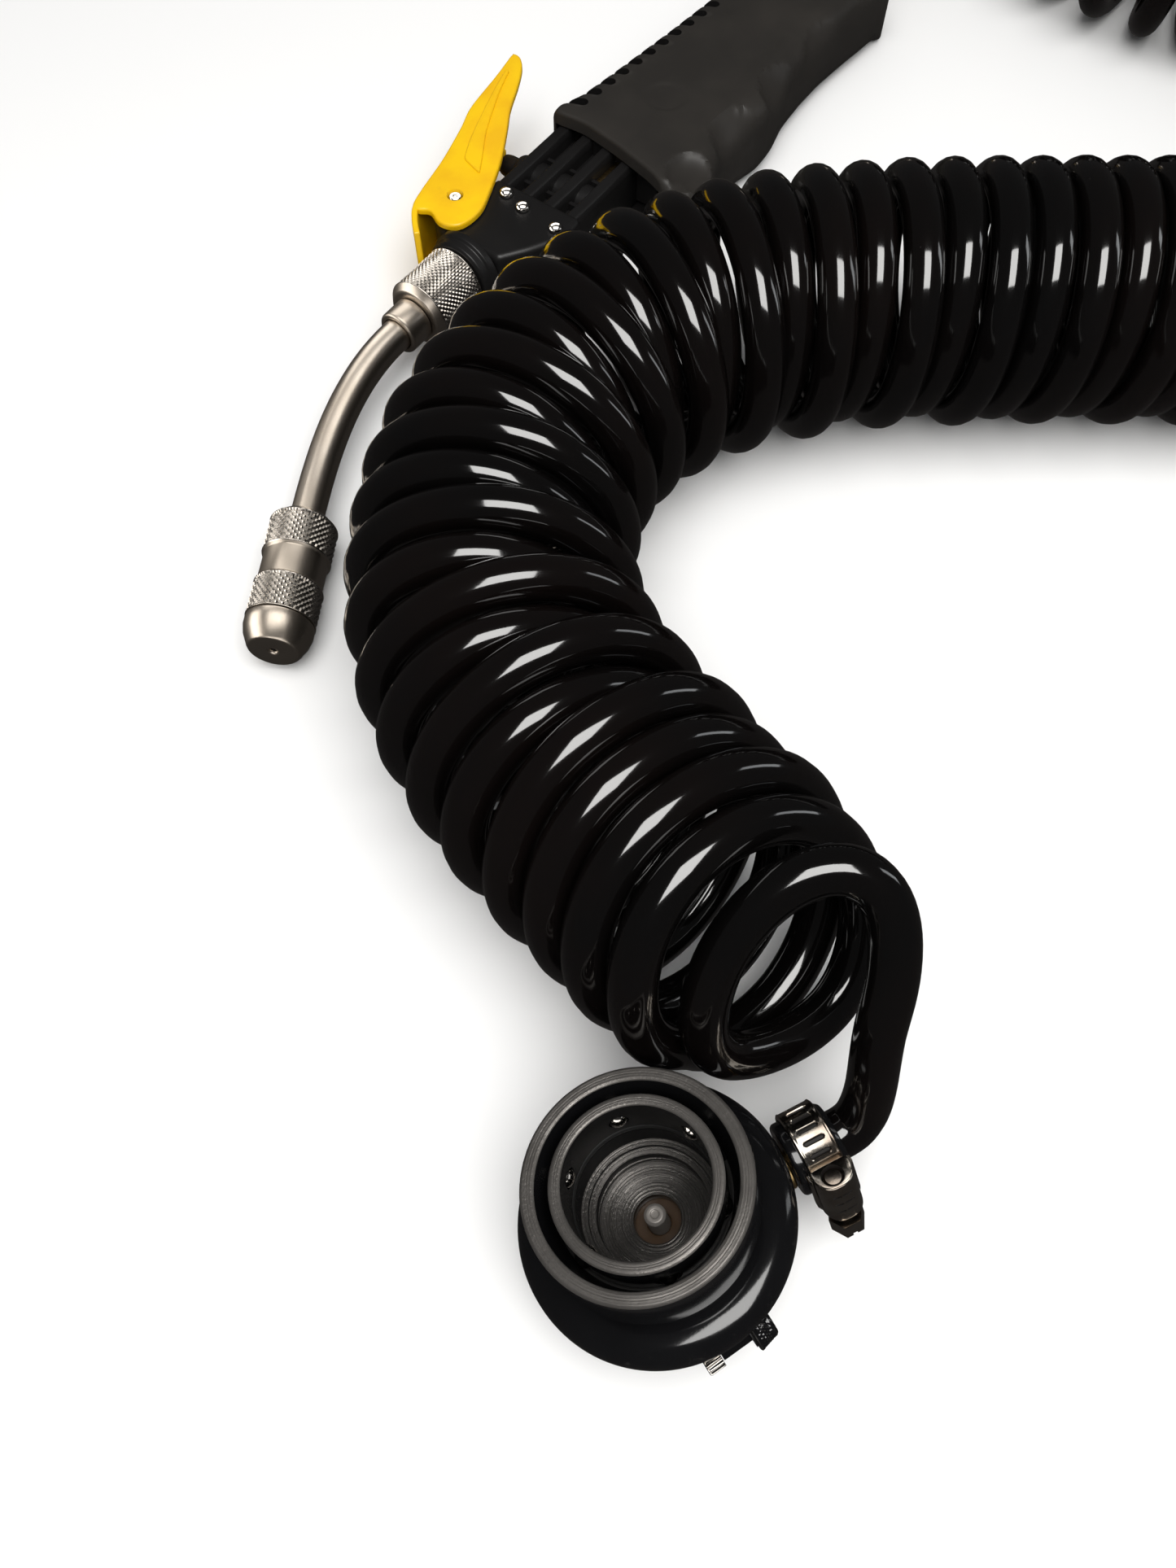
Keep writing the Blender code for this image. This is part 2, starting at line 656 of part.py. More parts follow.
def coupler_base():
    base = lathe("coupler_base", [
        (10.5, BASE_LOW), (24.0, BASE_LOW), (LOWER_R, -13.0), (LOWER_R, FLANGE_LOW),
        (30.8, -1.2), (FLANGE_R, 0.0), (FLANGE_R, 2.6), (31.6, 4.6), (29.6, 5.9),
        (26.5, FLANGE_TOP), (NECK_R, FLANGE_TOP), (NECK_R, 9.0), (23.2, 9.3), (22.5, 9.3),
        (22.5, 6.0), (19.7, 6.0), (19.7, 1.0), (15.0, 1.0), (15.0, 0.0), (13.4, 0.0),
        (13.4, -1.0), (11.6, -1.4), (8.0, -2.0), (5.6, -2.0), (5.6, -5.2), (12.0, -5.2),
        (12.0, -13.4), (10.5, -13.4)], ANODISED, COUPLER, 26)
    # bosses for the hose tail and the bleed screw, then the holes through them
    tail_boss = [(0, 22.0), (9.0, 22.0), (9.0, 28.8), (8.4, 29.4), (0, 29.4)]
    join(base, lathe_tool(tail_boss, TAIL, 20))
    join(base, rod_tool(3.6, 22.0, 29.0, BLEED_BOSS, 12))
    cut(base, rod_tool(3.4, 7.0, 40.0, TAIL, 16), rod_tool(2.1, -12.0, 12.0, BLEED, 12))


def coupler_tube():
    """The inner tube with a tapered hole for each locking ball."""
    tube = lathe("coupler_tube", [
        (TUBE_IN_R, 1.3), (TUBE_OUT_R, 1.3), (TUBE_OUT_R, 15.6), (18.85, 15.6), (18.85, 16.7),
        (TUBE_OUT_R, 16.7), (TUBE_OUT_R, MOUTH_Z - 0.5), (TUBE_OUT_R - 0.5, MOUTH_Z),
        (TUBE_IN_R + 0.5, MOUTH_Z), (TUBE_IN_R, MOUTH_Z - 0.5), (TUBE_IN_R, 14.4),
        (17.9, 14.4), (17.9, 12.0), (TUBE_IN_R, 12.0), (TUBE_IN_R, 5.4), (14.9, 5.4),
        (14.9, 4.2), (13.2, 4.2), (13.2, 1.3)],
        ANODISED, COUPLER, 24, phase=math.radians(-TAIL_AZ + 2.0))
    hole = [(0, 15.0), (2.28, 15.0), (2.28, 16.0), (2.68, 17.5), (2.68, 21.0), (0, 21.0)]
    centre = COUPLER_O + COUPLER_AXIS * BALL_Z
    cut(tube, *[lathe_tool(hole, frame(centre, COUPLER_AXIS, out), 10) for out in BALL_DIRS])


def locking_balls():
    for i, out in enumerate(BALL_DIRS):
        bm = bmesh.new()
        bmesh.ops.create_uvsphere(bm, u_segments=10, v_segments=6, radius=BALL_R)
        centre = COUPLER_O + COUPLER_AXIS * BALL_Z + out * BALL_CENTRE_R
        part(f"locking_ball_{i + 1}", bm, STEEL, frame(centre, COUPLER_AXIS, out))


def coupler_sleeve():
    """The outer sleeve with its split stop ring, its spring and the seal for the plug."""
    lathe("coupler_sleeve", [
        (23.8, 12.0), (25.2, 12.0), (SLEEVE_R, 12.5), (SLEEVE_R, MOUTH_Z - 0.7),
        (SLEEVE_R - 0.6, MOUTH_Z), (22.7, MOUTH_Z), (22.35, MOUTH_Z - 0.35), (20.2, 18.2),
        (20.2, 15.8), (19.65, 15.8), (19.65, 14.3), (23.8, 14.3)], ANODISED, COUPLER, 30)
    ring = lathe("sleeve_stop_ring", [(19.08, 15.9), (20.0, 15.9), (20.0, 16.45), (19.08, 16.45)],
                 STEEL, COUPLER, 24)
    cut(ring, box_tool((15, -1.6, 14), (22, 1.6, 18), frame(COUPLER_O, TAIL_DIR, COUPLER_AXIS)))
    spring("sleeve_spring", 21.1, 6.7, 13.6, wire=0.5, per_turn=10, placing=COUPLER)
    oring("plug_oring", 16.9, 13.2, 0.65, 1.05, COUPLER, 20)


def coupler_valve():
    lathe("valve_pin", [
        (0, -9.2), (4.2, -9.2), (4.2, -8.6), (7.2, -8.3), (7.2, -7.1), (PIN_R, -7.1),
        (PIN_R, PIN_TOP - 0.9), (PIN_R - 0.9, PIN_TOP), (0, PIN_TOP)], STEEL, COUPLER, 16)
    seal_in = PIN_R + 0.1
    lathe("valve_seal", [(seal_in, -7.0), (7.2, -7.0), (7.2, -5.5), (6.6, -5.25),
                         (seal_in, -5.25)], BROWN, COUPLER, 16)
    spring("valve_spring", 5.6, -13.0, -9.8, wire=0.4, per_turn=8, placing=COUPLER)
    lathe("bottom_plug", [(0, BASE_LOW), (10.3, BASE_LOW), (10.3, -13.65), (0, -13.65)],
          ANODISED, COUPLER, 24)


def coupler_tail():
    """Collar outside the boss and barbed stem inside the hose, with cuff and clamp."""
    lathe("coupler_barb", [
        (1.7, 10.0), (3.25, 10.0), (3.25, 29.7), (6.0, 29.7), (6.4, 30.1), (6.4, 32.7),
        (6.0, 33.1), (2.5, 33.1)] + barbs(34.5, 47.5), BRASS, TAIL, 12)
    sideways = Vector((TAIL_HEADING.y, -TAIL_HEADING.x, 0))     # to the right of the tail
    clamp("coupler", TAIL_O + TAIL_DIR * CLAMP_ALONG, TAIL_DIR,
          COUPLER_AXIS * math.cos(CLAMP_TILT) + sideways * math.sin(CLAMP_TILT))
    cuff("coupler", HOSE_START, 13.0, 1.0, TAIL)


def bleed_screw():
    """A conical knob on one side of the boss and a fluted tip on the other."""
    lathe("bleed_knob", [
        (0, -9.4), (3.4, -9.4), (3.9, -8.8), (4.8, -4.4), (4.3, -4.0), (1.8, -4.0),
        (1.8, 3.9), (0, 3.9)], ANODISED, BLEED, 18)
    flutes = [circle_point(2.9 if k % 2 else 2.35, k, 20) for k in range(20)]
    part("bleed_tip", prism_bm(flutes, 4.1, 8.2), STEEL, BLEED)
    lathe("bleed_seal", [(1.95, -3.95), (3.5, -3.95), (3.5, -3.65), (1.95, -3.65)],
          RUBBER, BLEED, 14)


coupler_base()
coupler_tube()
locking_balls()
coupler_sleeve()
coupler_valve()
bleed_screw()
coupler_tail()

# ---------------------------------------------------------------- gun: lance and nozzle
LANCE_R = 5.3
LANCE_FIT_R = LANCE_R + 0.35            # bore of the parts around the lance
NUT_R, NUT_L = 11.7, 23.0
NOZZLE_R, NOZZLE_L = 10.7, 48.0


def lance():
    """The bent tube from inside the nut to inside the nozzle, with its collar and nut."""
    bend_start = GUN_O - GUN_X * 11.0
    bend_end = NOZZLE_REAR - NOZZLE_DIR * 3.0
    pull = (bend_end - bend_start).length * 1.05
    points = [np.array(GUN_O + GUN_X * 16.0), np.array(GUN_O)]
    points += hermite(np.array(bend_start), np.array(-GUN_X) * pull,
                      np.array(bend_end), np.array(NOZZLE_DIR) * pull, 9)
    points += [np.array(p) for p in (bend_end, NOZZLE_REAR, NOZZLE_REAR + NOZZLE_DIR * 15.0)]
    part("lance_tube", sweep_bm(points, LANCE_R, 12, 3.6, 8), STEEL, Matrix.Identity(4))
    lathe("lance_collar", [
        (LANCE_FIT_R, -9.5), (6.8, -9.5), (7.4, -8.8), (7.4, -0.3), (LANCE_FIT_R, -0.3)],
        STEEL, LANCE, 24)
    lathe("lance_nut", [
        (LANCE_FIT_R, 0.0), (9.8, 0.0), (NUT_R, 2.4), (NUT_R, NUT_L - 1.0),
        (NUT_R - 1.0, NUT_L), (9.2, NUT_L), (9.2, 17.0), (LANCE_FIT_R, 17.0)],
        STEEL, LANCE, 26)
    oring("lance_oring", 6.35, 18.4, 0.9, 0.9, LANCE, 20)


def nozzle():
    lathe("nozzle_sleeve", [
        (LANCE_FIT_R, 0.0), (8.0, 0.0), (NOZZLE_R, 2.6), (NOZZLE_R, 14.6), (9.9, 15.4),
        (9.9, 25.2), (NOZZLE_R, 26.0), (NOZZLE_R, 38.0), (6.4, 38.0), (6.4, 16.0),
        (LANCE_FIT_R, 16.0)], STEEL, NOZZLE, 24)
    lathe("nozzle_tip", [
        (1.0, 30.0), (6.1, 30.0), (6.1, 38.3), (10.5, 38.3), (10.5, 41.0), (8.2, 47.2),
        (7.6, NOZZLE_L), (1.0, NOZZLE_L)], STEEL, NOZZLE, 20)
    oring("nozzle_oring", 4.9, 28.4, 1.0, 1.0, NOZZLE, 16)


# ---------------------------------------------------------------- gun: core
# head block outline: x, y in the gun's frame
HEAD = [
    (30.5, -12.5), (30.5, 12.5), (33.5, 17.5), (39.0, 21.6), (52.0, 25.0), (60.0, 22.0),
    (60.0, 12.0), (63.0, 12.0), (63.0, -24.0), (52.0, -25.5), (40.0, -19.0)]
# boss for the nut: radius, x
NUT_BOSS = [
    (0, 19.8), (8.9, 19.8), (8.9, 23.4), (11.4, 23.4), (12.4, 24.2), (12.4, 26.6),
    (13.4, 27.4), (13.4, 29.8), (9.0, 30.0), (9.0, 36.0), (0, 36.0)]
# rib section: y from the rib's middle, z
RIB = [(-2.6, -9.9), (2.6, -9.9), (2.6, 5.6), (1.6, 7.6), (-1.6, 7.6), (-2.6, 5.6)]
RIB_Y = [9.7, -0.1, -9.9, -19.7]
PLUNGER_BOSS = [(0, -16.2), (6.2, -16.2), (6.2, 15.2), (5.6, 16.0), (0, 16.0)]
BODY_SCREWS = [(57.4, 4.0), (55.0, -4.9), (53.2, -20.4)]    # x, y


def gun_core():
    """Head block with the nut's boss, four ribs and the tang inside the grip."""
    core = part("gun_core", prism_bm(HEAD, -11.5, 9.2, low=1.6, high=1.6), PLASTIC, GUN)
    join(core, lathe_tool(NUT_BOSS, LANCE, 28))
    # web between the ribs
    join(core, box_tool((59, -21.4, -5.5), (102.3, 8.9, 1.5), GUN))
    for k, y in enumerate(RIB_Y):
        join(core, tool(prism_bm(RIB, 55.0, 103.0 + 0.7 * k),
                        frame(gun_point(0, y), GUN_Y, GUN_X)))
    # tang
    join(core, box_tool((100.4, -31.0, -8.5), (238, 0.6, 6.7), GUN))
    join(core, lathe_tool(PLUNGER_BOSS, PLUNGER, 16))
    # holes for the lever's pin, from the nut, for the air tube and for the plunger
    cut(core, rod_tool(2.9, -16, 16, LEVER, 14, phase=0.13))
    cut(core, rod_tool(3.7, 10.0, 80.0, LANCE, 14, phase=0.21))
    cut(core, rod_tool(4.7, 84, 260, AIR_TUBE, 14, phase=0.17))
    cut(core, rod_tool(4.3, -14.2, 30, PLUNGER, 16, phase=0.11))


def body_screws():
    for i, (x, y) in enumerate(BODY_SCREWS):
        lathe(f"body_screw_{i + 1}", [(0, 9.5), (2.5, 9.5), (2.3, 10.6), (1.3, 11.3), (0, 11.4)],
              STEEL, frame(gun_point(x, y), GUN_X, UP), 12)


# ---------------------------------------------------------------- gun: grip
GRIP_LOW, GRIP_HIGH = -17.2, 13.2
# grip outline: x, y in the gun's frame
GRIP = [
    (98.5, 15.2), (100.0, 1.0), (97.0, -15.5), (92.5, -33.0), (88.0, -43.0), (91.0, -51.5),
    (101.0, -52.0), (112.0, -47.6), (124.0, -44.2), (136.0, -45.0), (147.0, -47.4),
    (158.0, -46.4), (171.0, -43.0), (188.0, -41.6), (204.0, -41.4), (220.0, -42.6),
    (236.0, -44.2), (GRIP_END, -45.0), (GRIP_END, 1.5), (226.0, 2.2), (198.0, 4.3),
    (163.0, 7.2), (132.0, 10.4), (112.0, 12.8), (104.0, 16.5)]
# outline of the hollow inside: x, y
GRIP_HOLLOW = [
    (80, 13.4), (103.5, 13.0), (112, 6.4), (130, 4.6), (240, 1.6), (240, -33.0),
    (118, -33.0), (100, -38), (80, -38)]
GROOVES, GROOVE_FIRST, GROOVE_PITCH = 12, 118.0, 8.0
GROOVE_SLOPE = 0.1


def grip_shell():
    """The hollow grip, open at the inlet, with grooves across its +Y side."""
    grip = part("grip_shell", prism_bm(GRIP, GRIP_LOW, GRIP_HIGH, low=5.5, high=5.5),
                PLASTIC, GUN)
    cut(grip, tool(prism_bm(GRIP_HOLLOW, -10.4, 8.2), GUN), rod_tool(8.6, 230, 260, INLET, 20))
    for k in range(GROOVES):
        x = GROOVE_FIRST + GROOVE_PITCH * k
        y = 12.4 - (x - 112.0) * GROOVE_SLOPE
        placing = frame(gun_point(x, 0), GUN_X + turned(GUN, (0, GROOVE_SLOPE, 0)), UP)
        cut(grip, box_tool((-1.5, y - 4.5, GRIP_LOW + 3.0), (1.5, y + 8, GRIP_HIGH + 3), placing))


# ---------------------------------------------------------------- gun: lever and plunger
# outer and inner edges of the lever: x, y in the gun's frame
LEVER_UPPER = [
    (117.5, 46.5), (103.0, 43.6), (84.0, 40.4), (73.0, 36.4), (56.0, 31.2), (40.0, 27.6),
    (31.5, 25.0), (25.5, 20.5), (21.0, 15.8)]
LEVER_LOWER = [
    (117.8, 43.2), (113.5, 39.0), (104.5, 34.0), (92.0, 28.2), (82.8, 22.6), (67.6, 14.0),
    (52.4, 7.4), (44.0, 4.4), (36.4, 4.4), (31.9, 6.6), (30.4, 12.6), (33.2, 18.4),
    (31.0, 21.4)]
WEB_THICKNESS = 2.2
TO_LEVER = Vector((-LEVER_PIN[0], -LEVER_PIN[1], 0))        # from the gun's origin to the pin's


def lever_tool(bm):
    """A tool given in the gun's coordinates, placed in the lever's frame."""
    bmesh.ops.translate(bm, verts=bm.verts, vec=TO_LEVER)
    return tool(bm, LEVER)


def web_outline():
    """A strip along the lever's outer edge, as thick as the web."""
    inner = []
    for i, point in enumerate(LEVER_UPPER):
        before = Vector(LEVER_UPPER[max(i - 1, 0)])
        after = Vector(LEVER_UPPER[min(i + 1, len(LEVER_UPPER) - 1)])
        along = (after - before).normalized()
        inner.append(Vector(point) + Vector((-along.y, along.x)) * WEB_THICKNESS)
    return LEVER_UPPER + inner[::-1]


def lever():
    """Two cheeks joined by a web, with a pusher over the plunger; it turns on a pin."""
    cheek = LEVER_UPPER[:7] + LEVER_LOWER[::-1]
    body = part("lever", prism_bm(cheek, 9.9, 12.2, high=0.5), YELLOW, LEVER)
    body.data.transform(Matrix.Translation(TO_LEVER * M))
    join(body, lever_tool(prism_bm(cheek, -14.4, -12.1, low=0.5)))
    join(body, lever_tool(prism_bm(web_outline(), -14.3, 12.1)))
    join(body, lever_tool(box_bm((76.5, 24.4, -4.0), (83.5, 38.0, 2.0))))
    cut(body, rod_tool(2.62, -20, 20, LEVER, 16))
    lathe("lever_pin", [
        (0, -15.2), (3.6, -15.2), (3.6, -14.7), (2.4, -14.7), (2.4, 11.6), (2.1, 11.9),
        (0, 11.9)], STEEL, LEVER, 16)


def plunger():
    lathe("plunger", [(0, -5.2), (3.9, -5.2), (3.9, 20.4), (3.4, 22.6), (2.0, 23.8), (0, 24.1)],
          PLASTIC, PLUNGER, 16)
    spring("plunger_spring", 3.0, -13.2, -6.0, wire=0.4, per_turn=8, placing=PLUNGER)


# ---------------------------------------------------------------- gun: air inlet
def inlet():
    """Air tube through the grip, fitting and barb at its end, with cuff and clamp."""
    lathe("air_tube", [(3.2, 86.0), (4.4, 86.0), (4.4, 238.0), (3.2, 238.0)],
          BRASS, AIR_TUBE, 14)
    lathe("inlet_fitting", [
        (3.0, 241.0), (8.3, 241.0), (8.3, 250.3), (10.6, 250.3), (10.6, 256.0),
        (9.9, 256.6), (3.0, 256.6)], STEEL, INLET, 24)
    lathe("swivel_barb", [
        (1.7, 257.0), (9.2, 257.0), (9.6, 257.5), (9.6, 267.0), (9.0, 268.0), (7.0, 268.6),
        (7.0, 276.4), (2.5, 276.4)] + barbs(278.0, 291.5), BRASS, INLET, 12)
    cuff("gun", HOSE_END, 19.0, 1.5, INLET)
    clamp("gun", gun_point(285.5, GRIP_AXIS_Y), -GUN_X, UP)


lance()
nozzle()
gun_core()
body_screws()
grip_shell()
lever()
plunger()
inlet()
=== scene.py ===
"""Looks of a coiled air hose with a quick coupler at one end and a blow gun at the other.

It lies on the floor plane z = 0, +Z up, and the camera looks towards +Y. The coupler stands
at the near left, mouth up. The coil runs from it to the back, then towards +X and round. The gun
lies at the left: its nozzle points to -Y and its grip runs off at GUN_AZ. Lengths are
millimetres, except in the stage section at the end; SHIFT and MILLI take them to the scene.
Bmesh builders end in _bm. Profiles of turned pieces are (radius, z), flat outlines (x, y).
"""
import json
import math

import bmesh
import bpy
import numpy as np
from mathutils import Matrix, Vector
from mathutils.geometry import delaunay_2d_cdt

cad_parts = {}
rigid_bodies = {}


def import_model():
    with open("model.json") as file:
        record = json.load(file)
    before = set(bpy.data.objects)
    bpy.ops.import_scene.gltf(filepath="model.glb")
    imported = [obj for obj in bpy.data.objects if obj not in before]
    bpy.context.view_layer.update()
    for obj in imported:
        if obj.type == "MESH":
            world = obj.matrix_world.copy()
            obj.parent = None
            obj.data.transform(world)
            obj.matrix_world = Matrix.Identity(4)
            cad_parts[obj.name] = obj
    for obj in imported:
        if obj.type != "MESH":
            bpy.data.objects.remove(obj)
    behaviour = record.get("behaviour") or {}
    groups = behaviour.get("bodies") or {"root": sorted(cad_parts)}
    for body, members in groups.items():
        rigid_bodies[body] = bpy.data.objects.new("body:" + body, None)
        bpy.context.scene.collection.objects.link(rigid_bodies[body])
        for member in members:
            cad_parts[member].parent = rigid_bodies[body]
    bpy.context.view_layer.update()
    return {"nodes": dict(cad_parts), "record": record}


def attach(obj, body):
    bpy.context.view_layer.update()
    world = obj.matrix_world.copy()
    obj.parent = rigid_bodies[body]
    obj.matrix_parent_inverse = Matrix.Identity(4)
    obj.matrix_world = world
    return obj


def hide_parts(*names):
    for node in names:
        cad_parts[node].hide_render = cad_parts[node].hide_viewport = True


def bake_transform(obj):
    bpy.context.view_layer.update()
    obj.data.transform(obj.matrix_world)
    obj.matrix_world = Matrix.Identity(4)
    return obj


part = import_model()
BODIES = part["record"]["behaviour"]["bodies"]
BODY = {node: body for body, nodes in BODIES.items() for node in nodes}

MILLI = 0.001
UP = (0, 0, 1)
SHIFT = Vector((-129.4, -290.0, 0.0))       # puts the bounding box's bottom centre at the origin

# ---------------------------------------------------------------- dimensions
# hose
TUBE_R = 6.0                                # outer radius
HOSE_SIDES = 20
COIL_R = 33.0                               # radius of the coil's centre line
COIL_Z = COIL_R + TUBE_R                    # height of the coil's axis over the floor
TURN_GAP = 12.55                            # least centre distance between neighbouring turns
FLOOR_Z = TUBE_R + 0.05                     # lowest height of the hose's centre line
PER_TURN = 40                               # points in a turn
FIRST_ANGLE = -35.0                         # where the first turn starts, degrees
BEND_PITCH = 17.4                           # pitch of the turns round the bends

# coupler
MOUTH_C = Vector((10.0, 32.0, 48.0))        # centre of the mouth
MOUTH_Z = 27.0                              # height of the mouth in the coupler's frame
BARB_AZ, BARB_Z = 24.0, -8.5                # direction and height of the hose tail
FLANGE_R, NECK_R, LOWER_R = 32.5, 23.5, 26.0
SLEEVE_R = 25.7
TUBE_OUT_R, TUBE_IN_R = 19.35, 16.5
BALL_R, BALL_C, BALL_Z = 2.5, 17.8, 19.5    # a ball's radius, its circle's radius and height
BALL_ANGLES = [47.0 - BARB_AZ + 60.0 * i for i in range(6)]
PIN_R, PIN_TOP = 2.65, 2.0
BLEED_ANGLE, BLEED_Z = -83.0, -7.0

# hose end at the coupler, measured along its tail
HOSE_START, CLAMP_AT = 33.5, 40.5
CLAMP_TILT = 62.0                           # where the worm housing sits round the hose end
BAND_R, BAND_HALF = 10.3, 4.5               # clamp band

# gun
GUN_O, GUN_AZ = Vector((-58.6, 315.0, 18.0)), 54.5
NUT_R, NUT_L = 11.7, 23.0
PIN_X, PIN_Y = 43.9, 15.9                   # lever pin
LANCE_R = 5.3
NOZZLE_R, NOZZLE_L = 10.7, 48.0
NOZZLE_REAR = Vector((-88.8, 234.3, 11.3))
NOZZLE_DIR = Vector((-0.0997, -0.995, 0.0)).normalized()
GRIP_END, GRIP_AXIS_Y = 250.0, -22.0
GRIP_LOW, GRIP_HIGH = -17.2, 13.2
HOSE_END = GRIP_END + 27.0                  # where the hose ends on the gun's barb


# ---------------------------------------------------------------- frames
def frame(origin, x_dir, z_dir):
    """A frame from an origin, roughly its x direction, and its z direction."""
    z_dir = Vector(z_dir).normalized()
    x_dir = Vector(x_dir)
    x_dir = (x_dir - z_dir * x_dir.dot(z_dir)).normalized()
    place = Matrix((x_dir, z_dir.cross(x_dir), z_dir)).transposed().to_4x4()
    place.translation = origin
    return place


def heading_vector(degrees):
    """A level unit vector."""
    return Vector((math.cos(math.radians(degrees)), math.sin(math.radians(degrees)), 0))


def radial(degrees):
    """A direction square to the coupler's axis; 0 degrees lies along the hose tail."""
    return COUPLER.to_3x3() @ heading_vector(degrees)


AXIS = Vector((-0.21, 0.18, 0.96)).normalized()
COUPLER_O = MOUTH_C - AXIS * MOUTH_Z
BARB_LEVEL = heading_vector(BARB_AZ)
COUPLER = frame(COUPLER_O, BARB_LEVEL, AXIS)            # Z up the coupler, X along the tail
TAIL_DIR = COUPLER.col[0].to_3d()
TAIL_O = COUPLER_O + AXIS * BARB_Z
TAIL = frame(TAIL_O, AXIS, TAIL_DIR)                    # Z out along the tail
BLEED_OUT = radial(BLEED_ANGLE)
BLEED_BOSS = frame(COUPLER_O + AXIS * BLEED_Z, AXIS, BLEED_OUT)
BLEED = frame(COUPLER_O + AXIS * BLEED_Z + BLEED_OUT * 30.3, AXIS, radial(BLEED_ANGLE - 90.0))
GUN_X = heading_vector(GUN_AZ)
GUN = frame(GUN_O, GUN_X, UP)                           # X towards the grip's end, Z up
GUN_Y = GUN.col[1].to_3d()
BARREL = frame(GUN_O, UP, GUN_X)                        # Z along the gun
INLET = frame(GUN @ Vector((0, GRIP_AXIS_Y, 0)), UP, GUN_X)
PLUNGER = frame(GUN @ Vector((80.0, 0, -1.0)), GUN_X, GUN_Y)    # Z across the gun
LEVER = frame(GUN @ Vector((PIN_X, PIN_Y, 0)), GUN_X, UP)
NOZZLE = frame(NOZZLE_REAR, UP, NOZZLE_DIR)


# ---------------------------------------------------------------- curves and outlines
def unit_rows(vectors):
    return vectors / np.linalg.norm(vectors, axis=1)[:, None]


def gaps(points):
    return np.linalg.norm(np.diff(points, axis=0), axis=1)


def run_length(points):
    """Distance along a line of points, at each point."""
    return np.concatenate([[0], np.cumsum(gaps(points))])


def running_mean(values, half):
    """Mean over a window of 2 * half + 1 values."""
    window = np.ones(2 * half + 1) / (2 * half + 1)
    return np.convolve(np.pad(values, half, mode="edge"), window, "valid")


def hermite(start, start_dir, end, end_dir, count):
    """Points of a cubic with given end tangents, without the last point."""
    out = []
    for k in range(count):
        t = k / count
        out.append((2 * t**3 - 3 * t**2 + 1) * start + (t**3 - 2 * t**2 + t) * start_dir
                   + (-2 * t**3 + 3 * t**2) * end + (t**3 - t**2) * end_dir)
    return out


def through(points, per):
    """A smooth curve through all points but the first and last, which only steer it."""
    out = []
    for i in range(1, len(points) - 2):
        before, start, end, after = points[i - 1:i + 3]
        out += hermite(start, (end - before) / 2, end, (after - start) / 2, per)
    return out + [points[-2]]


def spline(points, per=8):
    """A smooth open curve through flat points."""
    points = [Vector(p) for p in points]
    points = [points[0] * 2 - points[1]] + points + [points[-1] * 2 - points[-2]]
    return [tuple(p) for p in through(points, per)]


def oval(x, y, x_radius, y_radius, start, end, count):
    """Points on an ellipse between two angles in radians."""
    return [(x + x_radius * math.cos(t), y + y_radius * math.sin(t))
            for t in np.linspace(start, end, count)]


def resample(outline, step):
    """Even points round a closed outline."""
    outline = np.array(outline, float)
    loop = np.vstack([outline, outline[:1]])
    along = run_length(loop)
    at = np.linspace(0, along[-1], max(8, int(along[-1] / step)) + 1)[:-1]
    return np.stack([np.interp(at, along, loop[:, 0]), np.interp(at, along, loop[:, 1])], 1)


def relax(outline, window, rounds=2):
    """Rounds a closed outline of even points."""
    for _ in range(rounds):
        shifted = [np.roll(outline, k, axis=0) for k in range(-window, window + 1)]
        outline = sum(shifted) / (2 * window + 1)
    return outline


def fillet(profile, r=0.3, seg=3, closed=True):
    """Rounds the corners of a flat profile."""
    out, count = [], len(profile)
    for i, (x, y) in enumerate(profile):
        corner = Vector((x, y))
        back = Vector(profile[i - 1]) - corner
        ahead = Vector(profile[(i + 1) % count]) - corner
        if (x < 1e-9 or back.length < 1e-6 or ahead.length < 1e-6
                or (not closed and i in (0, count - 1))
                or back.angle(ahead) > math.radians(166)):
            out.append((x, y))
            continue
        start = corner + back / back.length * min(r, back.length * 0.45)
        end = corner + ahead / ahead.length * min(r, ahead.length * 0.45)
        for k in range(seg + 1):
            t = k / seg
            point = start * (1 - t)**2 + corner * 2 * t * (1 - t) + end * t * t
            out.append((max(point.x, 0.01), point.y))
    return out


def clockwise(outline):
    x, y = outline[:, 0], outline[:, 1]
    return np.sum(x * np.roll(y, -1) - np.roll(x, -1) * y) < 0


def inward_normals(outline):
    """Inward unit normals of a counter-clockwise outline."""
    tangents = unit_rows(np.roll(outline, -1, axis=0) - np.roll(outline, 1, axis=0))
    return np.stack([-tangents[:, 1], tangents[:, 0]], 1)


def nearest(points, outline):
    """For each point, its distance from the nearest outline point and that point's index."""
    distance = np.sqrt(((points[:, None] - outline[None])**2).sum(2))
    return distance.min(1), distance.argmin(1)


def inside(points, outline):
    """Which of the points lie inside the closed outline."""
    hit = np.zeros(len(points), bool)
    for a, b in zip(outline, np.roll(outline, -1, axis=0)):
        if a[1] == b[1]:
            continue
        spans = (a[1] > points[:, 1]) != (b[1] > points[:, 1])
        cross_x = a[0] + (points[:, 1] - a[1]) / (b[1] - a[1]) * (b[0] - a[0])
        hit ^= spans & (points[:, 0] < cross_x)
    return hit


# ---------------------------------------------------------------- mesh builders
def bridge(mesh, rings, inward=False):
    """Quads between neighbouring rings of vertices."""
    for low, high in zip(rings, rings[1:]):
        for i in range(len(low)):
            j = (i + 1) % len(low)
            quad = (low[i], low[j], high[j], high[i])
            mesh.faces.new(tuple(reversed(quad)) if inward else quad)


def cap(mesh, rings):
    return [mesh.faces.new(list(reversed(rings[0]))), mesh.faces.new(rings[-1])]


